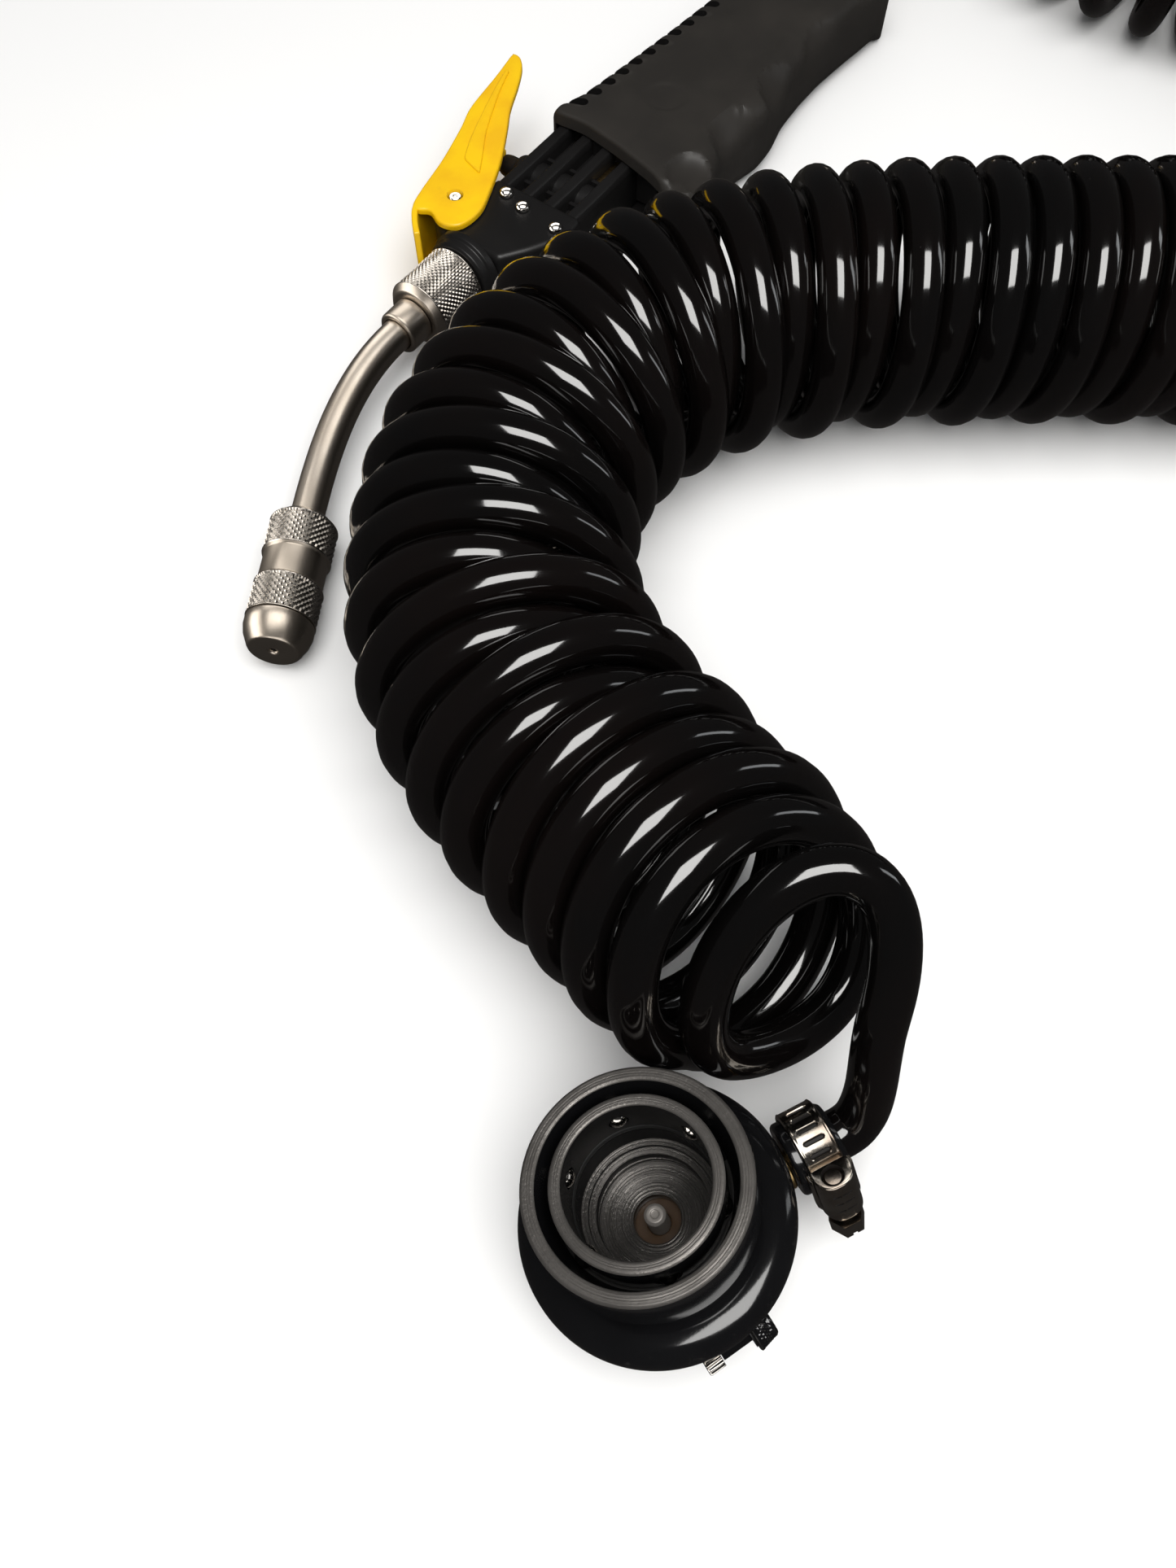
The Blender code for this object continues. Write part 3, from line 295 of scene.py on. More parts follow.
def loft_bm(rings, split_caps=False):
    """A solid through rings of points, capped at both ends."""
    mesh = bmesh.new()
    rings = [[mesh.verts.new(p) for p in ring] for ring in rings]
    bridge(mesh, rings)
    caps = cap(mesh, rings)
    if split_caps:
        bmesh.ops.triangulate(mesh, faces=caps)
    return mesh


def prism_bm(outline, z0, z1):
    return loft_bm([[(x, y, z) for x, y in outline] for z in (z0, z1)])


def capsule_bm(width, length, z0, z1, seg=8):
    """An upright prism with a round-ended slot outline, along X."""
    reach, r, quarter = length / 2 - width / 2, width / 2, math.pi / 2
    return prism_bm(oval(reach, 0, r, r, -quarter, quarter, seg)
                    + oval(-reach, 0, r, r, quarter, 3 * quarter, seg), z0, z1)


def box_bm(low, high):
    mesh = bmesh.new()
    bmesh.ops.create_cube(mesh, size=1.0)
    for v in mesh.verts:
        for k in range(3):
            v.co[k] = low[k] if v.co[k] < 0 else high[k]
    return mesh


def lathe_bm(profile, n=32, phase=0.0):
    """A body of revolution about Z from a closed profile; radius 0 lies on the axis."""
    mesh = bmesh.new()
    angles = [phase + 2 * math.pi * i / n for i in range(n)]
    rings = []
    for r, z in profile:
        if r < 1e-9:
            rings.append([mesh.verts.new((0, 0, z))])
        else:
            rings.append([mesh.verts.new((r * math.cos(a), r * math.sin(a), z)) for a in angles])
    for p, q in zip(rings, rings[1:] + rings[:1]):
        if len(p) == 1 and len(q) == 1:
            continue
        for i in range(n):
            j = (i + 1) % n
            if len(p) == 1:
                mesh.faces.new((p[0], q[i], q[j]))
            elif len(q) == 1:
                mesh.faces.new((p[i], q[0], p[j]))
            else:
                mesh.faces.new((p[i], q[i], q[j], p[j]))
    return mesh


def sweep_bm(points, radius, sides, bore=0.0, bore_sides=0):
    """A tube along points with a twist-free section; bore gives an open hole end to end."""
    points = np.array(points, float)
    tangents = unit_rows(np.gradient(points, axis=0))
    across = np.cross(tangents[0], np.array(UP, float))
    across /= np.linalg.norm(across)
    mesh = bmesh.new()

    def ring(centre, r, count):
        angles = [2 * math.pi * k / count for k in range(count)]
        return [mesh.verts.new(centre + r * (math.cos(a) * across + math.sin(a) * rise))
                for a in angles]

    outer, inner = [], []
    for centre, tangent in zip(points, tangents):
        across = across - tangent * (across @ tangent)
        across /= np.linalg.norm(across)
        rise = np.cross(tangent, across)
        outer.append(ring(centre, radius, sides))
        if bore:
            inner.append(ring(centre, bore, bore_sides))
    bridge(mesh, outer)
    if not bore:
        cap(mesh, outer)
        return mesh
    bridge(mesh, inner, inward=True)
    for end in (0, -1):
        edges = [mesh.edges.get((loop[k], loop[(k + 1) % len(loop)]))
                 for loop in (outer[end], inner[end]) for k in range(len(loop))]
        bmesh.ops.triangle_fill(mesh, edges=edges, use_beauty=True)
    return mesh


def pillow_bm(outline, z0, z1, r_low, r_high, steps):
    """A slab from a closed outline with rounded rims."""
    outline = np.array(outline, float)
    if clockwise(outline):
        outline = outline[::-1].copy()
    count = len(outline)
    normals = inward_normals(outline)
    widest = max(r_low, r_high)
    # how far each point can move inwards before it nears another side
    room = np.full(count, widest)
    free = np.ones(count, bool)
    for d in np.arange(0.1 * widest, widest * 1.001, 0.1 * widest):
        distance, _ = nearest(outline + normals * d, outline)
        blocked = free & (distance < d * 0.97 - 0.02)
        room[blocked] = d - 0.1 * widest
        free &= ~blocked
    for _ in range(3):
        room = np.minimum(room, (np.roll(room, 1) + np.roll(room, -1) + room) / 3)
    room = np.maximum(room, 0.02 * widest)

    def inset(r, k):
        """Inward steps of a rim's ring k, and how far they drop from the rim's flat side."""
        d = np.minimum(r * (1 - math.cos(k / steps * math.pi / 2)), room)
        return d, np.sqrt(np.maximum(r**2 - (r - d)**2, 0))

    def ring(d, z):
        return np.column_stack([outline + normals * d[:, None], z])

    rings = []
    for k in range(steps, 0, -1):
        d, lift = inset(r_low, k)
        rings.append(ring(d, z0 + r_low - lift))
    rings.append(ring(np.zeros(count), np.full(count, z0 + r_low)))
    rings.append(ring(np.zeros(count), np.full(count, z1 - r_high)))
    for k in range(1, steps + 1):
        d, lift = inset(r_high, k)
        rings.append(ring(d, z1 - r_high + lift))
    return loft_bm(rings, split_caps=True)


def mound_bm(outline, z0, z1, low, high, grid, dent):
    """A closed slab with an even skin, rim radii low and high at each outline point, and
    a dent(x, y) in its upper face."""
    outline = np.array(outline, float)
    if clockwise(outline):
        outline, low, high = outline[::-1].copy(), low[::-1].copy(), high[::-1].copy()
    normals = inward_normals(outline)
    layers = [outline]
    for part_way in (0.06, 0.16, 0.30, 0.48, 0.70, 0.97):
        points = outline + normals * (high * part_way)[:, None]
        d, _ = nearest(points, outline)
        layers.append(points[(d > high * part_way * 0.96 - 0.01) & inside(points, outline)])
    grid_x, grid_y = np.meshgrid(np.arange(outline[:, 0].min(), outline[:, 0].max(), grid),
                                 np.arange(outline[:, 1].min(), outline[:, 1].max(), grid))
    points = np.stack([grid_x.ravel(), grid_y.ravel()], 1)
    points = points[inside(points, outline)]
    d, i = nearest(points, outline)
    layers.append(points[d > np.maximum(high[i] * 1.04, 0.6)])
    flat, _, triangles, _, _, _ = delaunay_2d_cdt(
        [Vector(p) for p in np.vstack(layers)], [], [list(range(len(outline)))], 1, 1e-4)
    flat = np.array([v[:] for v in flat])
    d, i = nearest(flat, outline)
    d[d < 1e-4] = 0

    def drop(radii):
        r = radii[i]
        return r - np.sqrt(np.maximum(r**2 - (r - np.minimum(d, r))**2, 0))

    top, bottom = z1 - drop(high), z0 + drop(low)
    fade = np.clip((top - (z1 + z0) / 2) / 4.0, 0, 1)
    top = top - dent(flat[:, 0], flat[:, 1]) * fade
    mesh = bmesh.new()
    upper = [mesh.verts.new((*p, z)) for p, z in zip(flat, top)]
    lower = [mesh.verts.new((*p, z)) for p, z in zip(flat, bottom)]
    edges = {}
    for t in triangles:
        mesh.faces.new([upper[k] for k in t])
        mesh.faces.new([lower[k] for k in reversed(t)])
        for edge in zip(t, list(t[1:]) + [t[0]]):
            edges[edge] = True
    for a, b in edges:
        if (b, a) not in edges:
            mesh.faces.new((upper[b], upper[a], lower[a], lower[b]))
    loose = [v for v in mesh.verts if not v.link_faces]
    bmesh.ops.delete(mesh, geom=loose, context="VERTS")
    return mesh


def merge(parts):
    """One bmesh from pairs of a bmesh and its frame."""
    out = bmesh.new()
    for mesh, place in parts:
        bmesh.ops.transform(mesh, matrix=place, verts=mesh.verts)
        data = bpy.data.meshes.new("t")
        mesh.to_mesh(data)
        mesh.free()
        out.from_mesh(data)
        bpy.data.meshes.remove(data)
    return out


# ---------------------------------------------------------------- pieces
def smooth(piece, angle):
    piece.data.shade_smooth()
    piece.data.set_sharp_from_angle(angle=math.radians(angle))


def shape(name, mesh, place=None, mats=(), angle=35.0):
    """An object from a bmesh, placed by its frame."""
    bmesh.ops.recalc_face_normals(mesh, faces=mesh.faces)
    data = bpy.data.meshes.new(name)
    bmesh.ops.scale(mesh, vec=(MILLI, MILLI, MILLI), verts=mesh.verts)
    mesh.to_mesh(data)
    mesh.free()
    piece = bpy.data.objects.new(name, data)
    bpy.context.scene.collection.objects.link(piece)
    world_place = (place or Matrix.Identity(4)).copy()
    world_place.translation = (world_place.to_translation() + SHIFT) * MILLI
    piece.matrix_world = world_place
    for material in mats:
        data.materials.append(material)
    smooth(piece, angle)
    bpy.context.view_layer.update()
    return piece


def cutter(mesh, place, material):
    return shape("cutter", mesh, place, [material])


def stand(piece, node, body=None):
    """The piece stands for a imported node; with a body given it only rides along."""
    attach(piece, body or BODY[node])
    if not body:
        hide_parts(node)


def carve(piece, *tools, op="DIFFERENCE", angle=35.0):
    """Cuts or joins tools and removes them. Cut faces take the tool's material."""
    for tool in tools:
        modifier = piece.modifiers.new("b", "BOOLEAN")
        modifier.operation, modifier.solver, modifier.object = op, "EXACT", tool
        modifier.material_mode = "TRANSFER"
        bpy.context.view_layer.update()
        evaluated = piece.evaluated_get(bpy.context.evaluated_depsgraph_get())
        data = bpy.data.meshes.new_from_object(evaluated)
        piece.modifiers.clear()
        old = piece.data
        piece.data = data
        bpy.data.meshes.remove(old)
        bpy.data.objects.remove(tool, do_unlink=True)
    smooth(piece, angle)
    return piece


def turned(name, profile, place, mats, n=96, r=0.3, phase=0.0, angle=35.0):
    return shape(name, lathe_bm(fillet(profile, r), n, phase), place, mats, angle)


def stand_turned(node, profile, place, material, n=96, r=0.3, angle=35.0):
    """A turned piece of one material that stands for its node."""
    stand(turned(node + "_look", profile, place, [material], n, r, angle=angle), node)


def paint(piece, index, test):
    """Faces whose centre (own frame) and normal pass the test take another material."""
    for face in piece.data.polygons:
        if test(face.center / MILLI, face.normal):
            face.material_index = index


def faces_axis(at, normal):
    return normal.x * at.x + normal.y * at.y < 0


def off_axis(at):
    return math.hypot(at.x, at.y)


def zigzag(x):
    """A triangle wave from 0 to 1."""
    return abs(2 * (x - math.floor(x)) - 1)


def scale_round(v, factor):
    """Moves a vertex towards or away from the Z axis."""
    v.co.x *= factor
    v.co.y *= factor


def knurled(name, profile, bands, pitch, depth, place, mats, r=0.25):
    """A turned piece with diamond knurling on cylindrical bands (radius, z0, z1)."""
    diamonds = round(2 * math.pi * bands[0][0] / pitch)
    row = pitch * 1.08 / 4
    points = []
    rounded = fillet(profile, r)
    for p, q in zip(rounded, rounded[1:] + rounded[:1]):
        points.append(p)
        rise = q[1] - p[1]
        for band_r, _, _ in bands:
            if abs(p[0] - band_r) < 0.02 and abs(q[0] - band_r) < 0.02 and abs(rise) > 2.0:
                rows = max(2, round(abs(rise) / row))
                points += [(band_r, p[1] + rise * j / rows) for j in range(1, rows)]
                break
    mesh = lathe_bm(points, 4 * diamonds)
    for v in mesh.verts:
        z, radius = v.co.z, off_axis(v.co)
        for band_r, z0, z1 in bands:
            if abs(radius - band_r) < 0.02 and z0 - 0.01 <= z <= z1 + 0.01:
                across = math.atan2(v.co.y, v.co.x) / (2 * math.pi) * diamonds
                up = (z - z0) / row / 4
                height = 1 - max(zigzag(across + up), zigzag(across - up))
                fade = min(1.0, max(0.0, min(z - z0, z1 - z) / 0.5))
                scale_round(v, 1 - depth * (1 - height) * fade / radius)
    return shape(name, mesh, place, mats, angle=22.0)


def spring(node, place, radius, z0, z1, per, wire, material):
    """A spring of three turns with flat ends, per points in a turn."""
    n = 3 * per
    points = [(radius * math.cos(2 * math.pi * i / per), radius * math.sin(2 * math.pi * i / per),
               z0 + (z1 - z0) * min(max((i / n - 0.12) / 0.76, 0), 1)) for i in range(n + 1)]
    stand(shape(node + "_look", sweep_bm(points, wire, 10), place, [material], 60), node)


def barb_ridges(first):
    """Profile of three hose-barb teeth from z = first."""
    out = []
    for k in range(3):
        z = first + 4.4 * k
        out += [(2.2, z), (2.7, z + 0.2), (2.2, z + 3.4)]
    return out


def cuff_profile(start, length, taper):
    """A hose-end cuff with a groove near its start and a taper at its end."""
    end = start + length
    return [(6.15, start), (8.4, start), (9.0, start + 0.7), (9.0, start + 3.0),
            (8.75, start + 3.3), (8.75, start + 3.8), (9.0, start + 4.1), (9.0, end - taper),
            (8.2, end), (6.15, end)]


# ---------------------------------------------------------------- materials
def look(name, colour, metallic=0.0, rough=0.4, var=0.12, bump=0.05, grain=1500.0, patch=60.0,
         second=None, coat=0.0, rings=0.0, brushed=0.0, specks=0.0, edge=0.0,
         edge_colour=(0.25, 0.24, 0.22), spec=None):
    """A procedural finish: patches of colour and second, roughness rough +- var, fine grain.

    grain and patch are noise scales per metre; rings (turning marks round Z), brushed (strokes
    along Z), specks (dust) and edge (edge_colour on sharp rims: painted shade on the yellow
    lever, lighter rims elsewhere) are strengths, 0 for none.
    """
    material = bpy.data.materials.new(name)
    material.use_nodes = True
    nodes, links = material.node_tree.nodes, material.node_tree.links
    shader = nodes["Principled BSDF"]
    shader.inputs["Metallic"].default_value = metallic
    if coat:
        shader.inputs["Coat Weight"].default_value = coat
        shader.inputs["Coat Roughness"].default_value = 0.04
    if spec is not None:
        shader.inputs["Specular IOR Level"].default_value = spec
    own_place = nodes.new("ShaderNodeTexCoord").outputs["Object"]

    def feed(socket, value):
        if isinstance(value, bpy.types.NodeSocket):
            links.new(value, socket)
        else:
            socket.default_value = value

    def noise(scale, detail=3.0, at=own_place):
        node = nodes.new("ShaderNodeTexNoise")
        node.inputs["Scale"].default_value = scale
        node.inputs["Detail"].default_value = detail
        links.new(at, node.inputs["Vector"])
        return node.outputs["Fac"]

    def calc(operation, *values):
        node = nodes.new("ShaderNodeMath")
        node.operation = operation
        for socket, value in zip(node.inputs, values):
            feed(socket, value)
        return node.outputs[0]

    def swing(value, amount, middle=0.5):
        """The value's departure from middle, times amount."""
        return calc("MULTIPLY", calc("SUBTRACT", value, middle), amount)

    def mix(factor, first, other):
        node = nodes.new("ShaderNodeMix")
        node.data_type = "RGBA"
        links.new(factor, node.inputs[0])
        for i, value in ((6, first), (7, other)):
            feed(node.inputs[i], (*value, 1.0) if isinstance(value, tuple) else value)
        return node.outputs[2]

    def ramp(value, low, high):
        node = nodes.new("ShaderNodeMapRange")
        node.inputs["From Min"].default_value = low
        node.inputs["From Max"].default_value = high
        links.new(value, node.inputs["Value"])
        return node.outputs["Result"]

    def shade(factor):
        return tuple(c * factor for c in colour)

    patches = noise(patch, 4.0)
    tint = mix(ramp(patches, 0.38, 0.64), colour, second or shade(0.8))
    fine = noise(grain, 2.0)
    roughness = calc("ADD", swing(patches, var * 1.6), rough)
    roughness = calc("ADD", swing(fine, var * 0.6), roughness)
    height = calc("MULTIPLY", fine, 1.0)
    if rings:
        split = nodes.new("ShaderNodeSeparateXYZ")
        links.new(own_place, split.inputs[0])
        x, y = split.outputs[0], split.outputs[1]
        radius = calc("SQRT", calc("ADD", calc("MULTIPLY", x, x), calc("MULTIPLY", y, y)))
        circles = nodes.new("ShaderNodeTexNoise")
        circles.noise_dimensions = "1D"
        circles.inputs["Scale"].default_value = 2300.0
        circles.inputs["Detail"].default_value = 4.0
        links.new(calc("ADD", radius, calc("MULTIPLY", fine, 0.0002)), circles.inputs["W"])
        ring = swing(circles.outputs["Fac"], rings)
        height = calc("ADD", height, calc("MULTIPLY", ring, 4.0))
        roughness = calc("ADD", roughness, calc("MULTIPLY", ring, 0.5))
        darker = calc("MULTIPLY", calc("ADD", calc("MULTIPLY", ring, 2.0), 0.45), 1.0)
        tint = mix(darker, tint, shade(0.45))
    if brushed:
        stretch = nodes.new("ShaderNodeMapping")
        stretch.inputs["Scale"].default_value = (1.0, 1.0, 0.03)
        links.new(own_place, stretch.inputs["Vector"])
        strokes = noise(1800.0, 3.0, at=stretch.outputs["Vector"])
        roughness = calc("ADD", roughness, swing(strokes, brushed))
        height = calc("ADD", height, calc("MULTIPLY", strokes, 1.5))
        tint = mix(calc("MULTIPLY", strokes, 0.35), tint, shade(0.6))
    if specks:
        cells = nodes.new("ShaderNodeTexVoronoi")
        cells.inputs["Scale"].default_value = 420.0
        links.new(own_place, cells.inputs["Vector"])
        dot = calc("LESS_THAN", cells.outputs["Distance"], swing(noise(90.0, 2.0), specks, 0.52))
        tint = mix(calc("MULTIPLY", dot, 0.5), tint, (0.20, 0.19, 0.18))
        roughness = calc("ADD", roughness, calc("MULTIPLY", dot, 0.35))
        height = calc("ADD", height, calc("MULTIPLY", dot, 1.5))
    # sharp rims take edge_colour: painted shade on the yellow lever, lighter rims on the anodised
    # and charcoal pieces
    if edge:
        pointiness = nodes.new("ShaderNodeNewGeometry").outputs["Pointiness"]
        sharp_rims = ramp(calc("ADD", pointiness, swing(noise(500.0), 0.08)), 0.53, 0.60)
        tint = mix(calc("MULTIPLY", sharp_rims, edge), tint, edge_colour)
    limit = nodes.new("ShaderNodeClamp")
    limit.inputs["Min"].default_value = 0.03
    limit.inputs["Max"].default_value = 1.0
    links.new(roughness, limit.inputs["Value"])
    links.new(tint, shader.inputs["Base Color"])
    links.new(limit.outputs[0], shader.inputs["Roughness"])
    relief = nodes.new("ShaderNodeBump")
    relief.inputs["Strength"].default_value = bump
    relief.inputs["Distance"].default_value = 0.0002
    links.new(height, relief.inputs["Height"])
    links.new(relief.outputs["Normal"], shader.inputs["Normal"])
    return material


HOSE = look("hose_gloss", (0.0018, 0.0016, 0.0016), rough=0.10, var=0.03, bump=0.012, grain=700,
            patch=18, second=(0.0030, 0.0020, 0.0018), coat=0.45, specks=0.16, spec=0.75)
ANOD = look("black_anodised", (0.0045, 0.0045, 0.0050), rough=0.12, var=0.07, bump=0.03,
            grain=2500, patch=80, coat=0.25, specks=0.22, edge=0.35)
# a darker, duller copy of the anodising for inward-facing bore walls: painted shade
ANOD_BORE_SHADE = look("black_anodised_bore_painted_shade", (0.0040, 0.0040, 0.0044), rough=0.30, bump=0.10,
               grain=2200, patch=80, spec=0.12)
BARE = look("machined_ring", (0.24, 0.225, 0.21), metallic=0.75, rough=0.40, var=0.16, bump=0.40,
            patch=110, rings=0.55, second=(0.15, 0.14, 0.13))
# a darker copy of the machined metal for the floor deep inside the coupler: painted shade
MACHINED_SHADE = look("machined_painted_shade", (0.17, 0.16, 0.15), metallic=0.8, rough=0.32, var=0.16,
                 bump=0.5, grain=1400, patch=120, rings=1.1)
STEEL = look("stainless_satin", (0.60, 0.54, 0.47), metallic=1.0, rough=0.33, var=0.10,
             grain=2600, patch=45, second=(0.48, 0.42, 0.35), brushed=0.10)
KNURL = look("stainless_knurled", (0.60, 0.56, 0.51), metallic=1.0, rough=0.26, var=0.10,
             bump=0.03, grain=2500, patch=90)
BRIGHT = look("steel_bright", (0.72, 0.70, 0.67), metallic=1.0, rough=0.12, var=0.08, bump=0.02,
              grain=2200, patch=70, second=(0.55, 0.52, 0.48))
CLAMP = look("clamp_plated", (0.60, 0.56, 0.50), metallic=1.0, rough=0.17, patch=130,
             second=(0.36, 0.30, 0.25))
# near-black painted shade for the walls of slots and bores; in the band's slots it also stands for
# the black hose seen through them
RECESS_SHADE = look("recess_painted_shade", (0.015, 0.013, 0.012), metallic=0.3, rough=0.5, var=0.1, bump=0.03)
PLAST = look("charcoal_plastic", (0.022, 0.020, 0.018), rough=0.44, var=0.10, bump=0.10,
             grain=2200, patch=35, second=(0.028, 0.025, 0.022), edge=0.10,
             edge_colour=(0.08, 0.075, 0.07), spec=0.35)
# the gun core's own darker black, also used as painted shade on the cut walls of the grip's
# pocket, inlet bore and slots
PLAST_CORE_AND_SHADE = look("black_plastic_core_and_shade", (0.010, 0.0095, 0.0095), rough=0.38, bump=0.07,
                grain=1800, spec=0.4)
# edge_colour: brown painted shade along the lever's sharp rims
YELLOW = look("yellow_plastic", (0.86, 0.53, 0.002), rough=0.36, var=0.10, grain=1600, patch=70,
              second=(0.80, 0.44, 0.002), edge=0.25, edge_colour=(0.28, 0.12, 0.02))
RUBBER = look("black_rubber", (0.012, 0.012, 0.012), rough=0.48, var=0.14, bump=0.10, patch=90)
BROWN = look("brown_rubber", (0.040, 0.022, 0.010), rough=0.35, var=0.14, bump=0.08, grain=1300,
             patch=90, second=(0.06, 0.032, 0.014))
SPRING = look("spring_blackened", (0.03, 0.029, 0.028), metallic=0.7, rough=0.35, var=0.10,
              grain=2000, patch=80)
BRASS = look("brass_turned", (0.62, 0.44, 0.20), metallic=1.0, rough=0.30, bump=0.08, grain=1800,
             patch=90, brushed=0.08)
PIN = look("pin_turned", (0.42, 0.39, 0.36), metallic=0.5, rough=0.45, bump=0.15, rings=0.4)

# ---------------------------------------------------------------- hose
# axis the coil is wound on: x, y, z, pitch, yaw and tilt of the turns in degrees, turn radius
COIL_STATIONS = [
    (50, 72, 45, 13.9, -6, -38, 36.5), (38, 87, 43, 13.9, -4, -33, 35.5),
    (21, 106, 42, 13.9, 2, -26, 34.5), (1, 126, 41, 13.8, 6, -19, 33.5),
    (-16, 149, 40, 13.7, 6, -12, 33), (-26, 173, 39, 13.7, 5, -7, 33),
    (-28.5, 199, 39, 13.7, 2, -3, 33),
]
# where the turns stand upright: x, y, pitch
UPRIGHT_STATIONS = [
    (-22, 235, 13.9), (-5, 263, 14.0), (18, 282, 14.0), (48, 294.5, 13.8), (98, 302, 13.4),
    (140, 303, 13.0), (187, 303, 12.8), (225, 303, 13.2),
]
BEND_R, COUNTER_R = 99.0, 70.0              # the wide bend and the bend the other way after it

# centre line of the free first turn: x, y, z
FREE_TURN = [
    (62.7, 56.8, 38.0), (67.4, 65.8, 46.0), (69.2, 74.1, 54.0), (69.6, 82.4, 61.0),
    (68.6, 89.6, 66.5), (64.5, 95.5, 70.5), (57.7, 97.8, 72.5), (49.3, 95.7, 72.0),
    (41.5, 91.9, 69.0), (34.2, 86.3, 63.5), (28.6, 79.1, 56.0), (25.0, 71.1, 46.5),
    (23.6, 64.5, 36.0), (26.5, 61.0, 25.0),
]


def coil_axis():
    """A smooth line of stations, with the columns of COIL_STATIONS."""
    def upright(x, y, pitch):
        return (x, y, COIL_Z, pitch, 0, 0, COIL_R)

    def bend(centre_x, centre_y, radius, angles):
        return [upright(centre_x + radius * math.cos(math.radians(a)),
                        centre_y + radius * math.sin(math.radians(a)), BEND_PITCH)
                for a in angles]

    rows = COIL_STATIONS + [upright(*station) for station in UPRIGHT_STATIONS]
    x, y = rows[-1][:2]
    rows += bend(x, y + BEND_R, BEND_R, range(-75, 76, 15))
    x, y = rows[-1][:2]
    leaving = math.radians(165)
    rows += bend(x + COUNTER_R * math.sin(leaving), y - COUNTER_R * math.cos(leaving), COUNTER_R,
                 range(245, 184, -10))
    x, y = rows[-1][:2]
    rows.append(upright(x - 2, y + 20, 15))
    rows = np.array(rows, float)
    rows = [2 * rows[0] - rows[1]] + list(rows) + [2 * rows[-1] - rows[-2]]
    out = []
    for i in range(1, len(rows) - 2):
        p0, p1, p2, p3 = rows[i - 1:i + 3]
        d1, d2, d3 = (np.linalg.norm((b - a)[:3]) for a, b in ((p0, p1), (p1, p2), (p2, p3)))
        start_dir = d2 * ((p1 - p0) / d1 * d2 + (p2 - p1) / d2 * d1) / (d1 + d2)
        end_dir = d2 * ((p2 - p1) / d2 * d3 + (p3 - p2) / d3 * d2) / (d2 + d3)
        out += hermite(p1, start_dir, p2, end_dir, 30)
    out.append(rows[-2])
    return np.array(out)


def push_from_coupler(points, gap):
    """How far each point must move to stand clear of the coupler's sleeve, flange and foot."""
    turn = np.array(COUPLER.to_3x3())
    local = (points - np.array(COUPLER_O)) @ turn
    move = np.zeros_like(points)
    rho = np.maximum(np.hypot(local[:, 0], local[:, 1]), 1e-6)
    cylinders = ((SLEEVE_R, 0.0, MOUTH_Z + 0.5), (FLANGE_R, -1.6, 6.3), (LOWER_R, -15.0, 0.0))
    for radius, z0, z1 in cylinders:
        above = local[:, 2] - (z0 + z1) / 2
        beside, beyond = rho - radius, np.abs(above) - (z1 - z0) / 2
        push_r, push_z = np.maximum(beside, 0), np.maximum(beyond, 0)
        outside = np.hypot(push_r, push_z)
        within = outside < 1e-9
        by_side = within & (beside > beyond)
        push_r = np.where(by_side, 1.0, push_r)
        push_z = np.where(within & ~by_side, 1.0, push_z)
        distance = np.where(within, np.maximum(beside, beyond), outside)
        size = np.maximum(np.hypot(push_r, push_z), 1e-9)
        direction = np.stack([local[:, 0] / rho * push_r / size, local[:, 1] / rho * push_r / size,
                              np.sign(above) * push_z / size], 1)
        push = direction * np.maximum(gap - distance, 0)[:, None]
        larger = np.linalg.norm(push, axis=1) > np.linalg.norm(move, axis=1)
        move[larger] = push[larger]
    return move @ turn.T


def wind_turns():
    """Left-hand turns, alternate ones staggered in and out where the axis bends."""
    stations = coil_axis()
    line, pitch = stations[:, :3], stations[:, 3]
    along = run_length(line)
    winding = np.cumsum(gaps(line) / ((pitch[1:] + pitch[:-1]) / 2) * 2 * math.pi)
    wound = math.radians(FIRST_ANGLE) + np.concatenate([[0], winding])
    tangents = unit_rows(np.gradient(line, along, axis=0))
    course = np.unwrap(np.arctan2(tangents[:, 1], tangents[:, 0]))
    angle = np.arange(wound[0], wound[-1], 2 * math.pi / PER_TURN)
    at = np.interp(angle, wound, along)

    def pick(values):
        return np.interp(at, along, values)

    centre = np.stack([pick(line[:, i]) for i in range(3)], 1)
    pitch, radius = pick(pitch), pick(stations[:, 6])
    yaw, tilt = np.radians(pick(stations[:, 4])), np.radians(pick(stations[:, 5]))
    facing = running_mean(pick(course) - yaw, 9)
    normal = np.stack([np.cos(facing) * np.cos(tilt), np.sin(facing) * np.cos(tilt),
                       np.sin(tilt)], 1)
    right = np.stack([np.sin(facing), -np.cos(facing), 0 * facing], 1)
    up = np.cross(right, normal)
    # stagger: only as much as the crowded inner side of a bend needs
    curving = np.gradient(running_mean(facing, 30), at)
    inner_pitch = pitch * np.cos(yaw) - pitch * radius * np.abs(curving)
    needed = 0.5 * np.sqrt(np.maximum(13.1**2 - np.maximum(inner_pitch, 3.0)**2, 0))
    wave = np.where(running_mean(curving, 30) < 0, np.cos(angle / 2), np.sin(angle / 2))
    radius = radius + running_mean(needed, 30) * np.sign(wave) * np.abs(wave)**5
    around = np.cos(angle)[:, None] * right + np.sin(angle)[:, None] * up
    return centre + radius[:, None] * around


def free_first_turn(points):
    """Replaces the first turn: it leans back from the coupler and drops steeply behind it."""
    join = round((288.0 - FIRST_ANGLE) / 360.0 * PER_TURN)
    steer = [np.array(p) for p in FREE_TURN] + [points[join], points[join + 3]]
    curve = np.array(through([2 * steer[0] - steer[1]] + steer, 12))
    along = run_length(curve)
    even = np.linspace(0, along[-1], join + 1)
    for i in range(3):
        points[:join + 1, i] = np.interp(even, along, curve[:, i])
    for _ in range(3):
        for i in range(3):
            points[2:70, i] = running_mean(points[:, i], 2)[2:70]


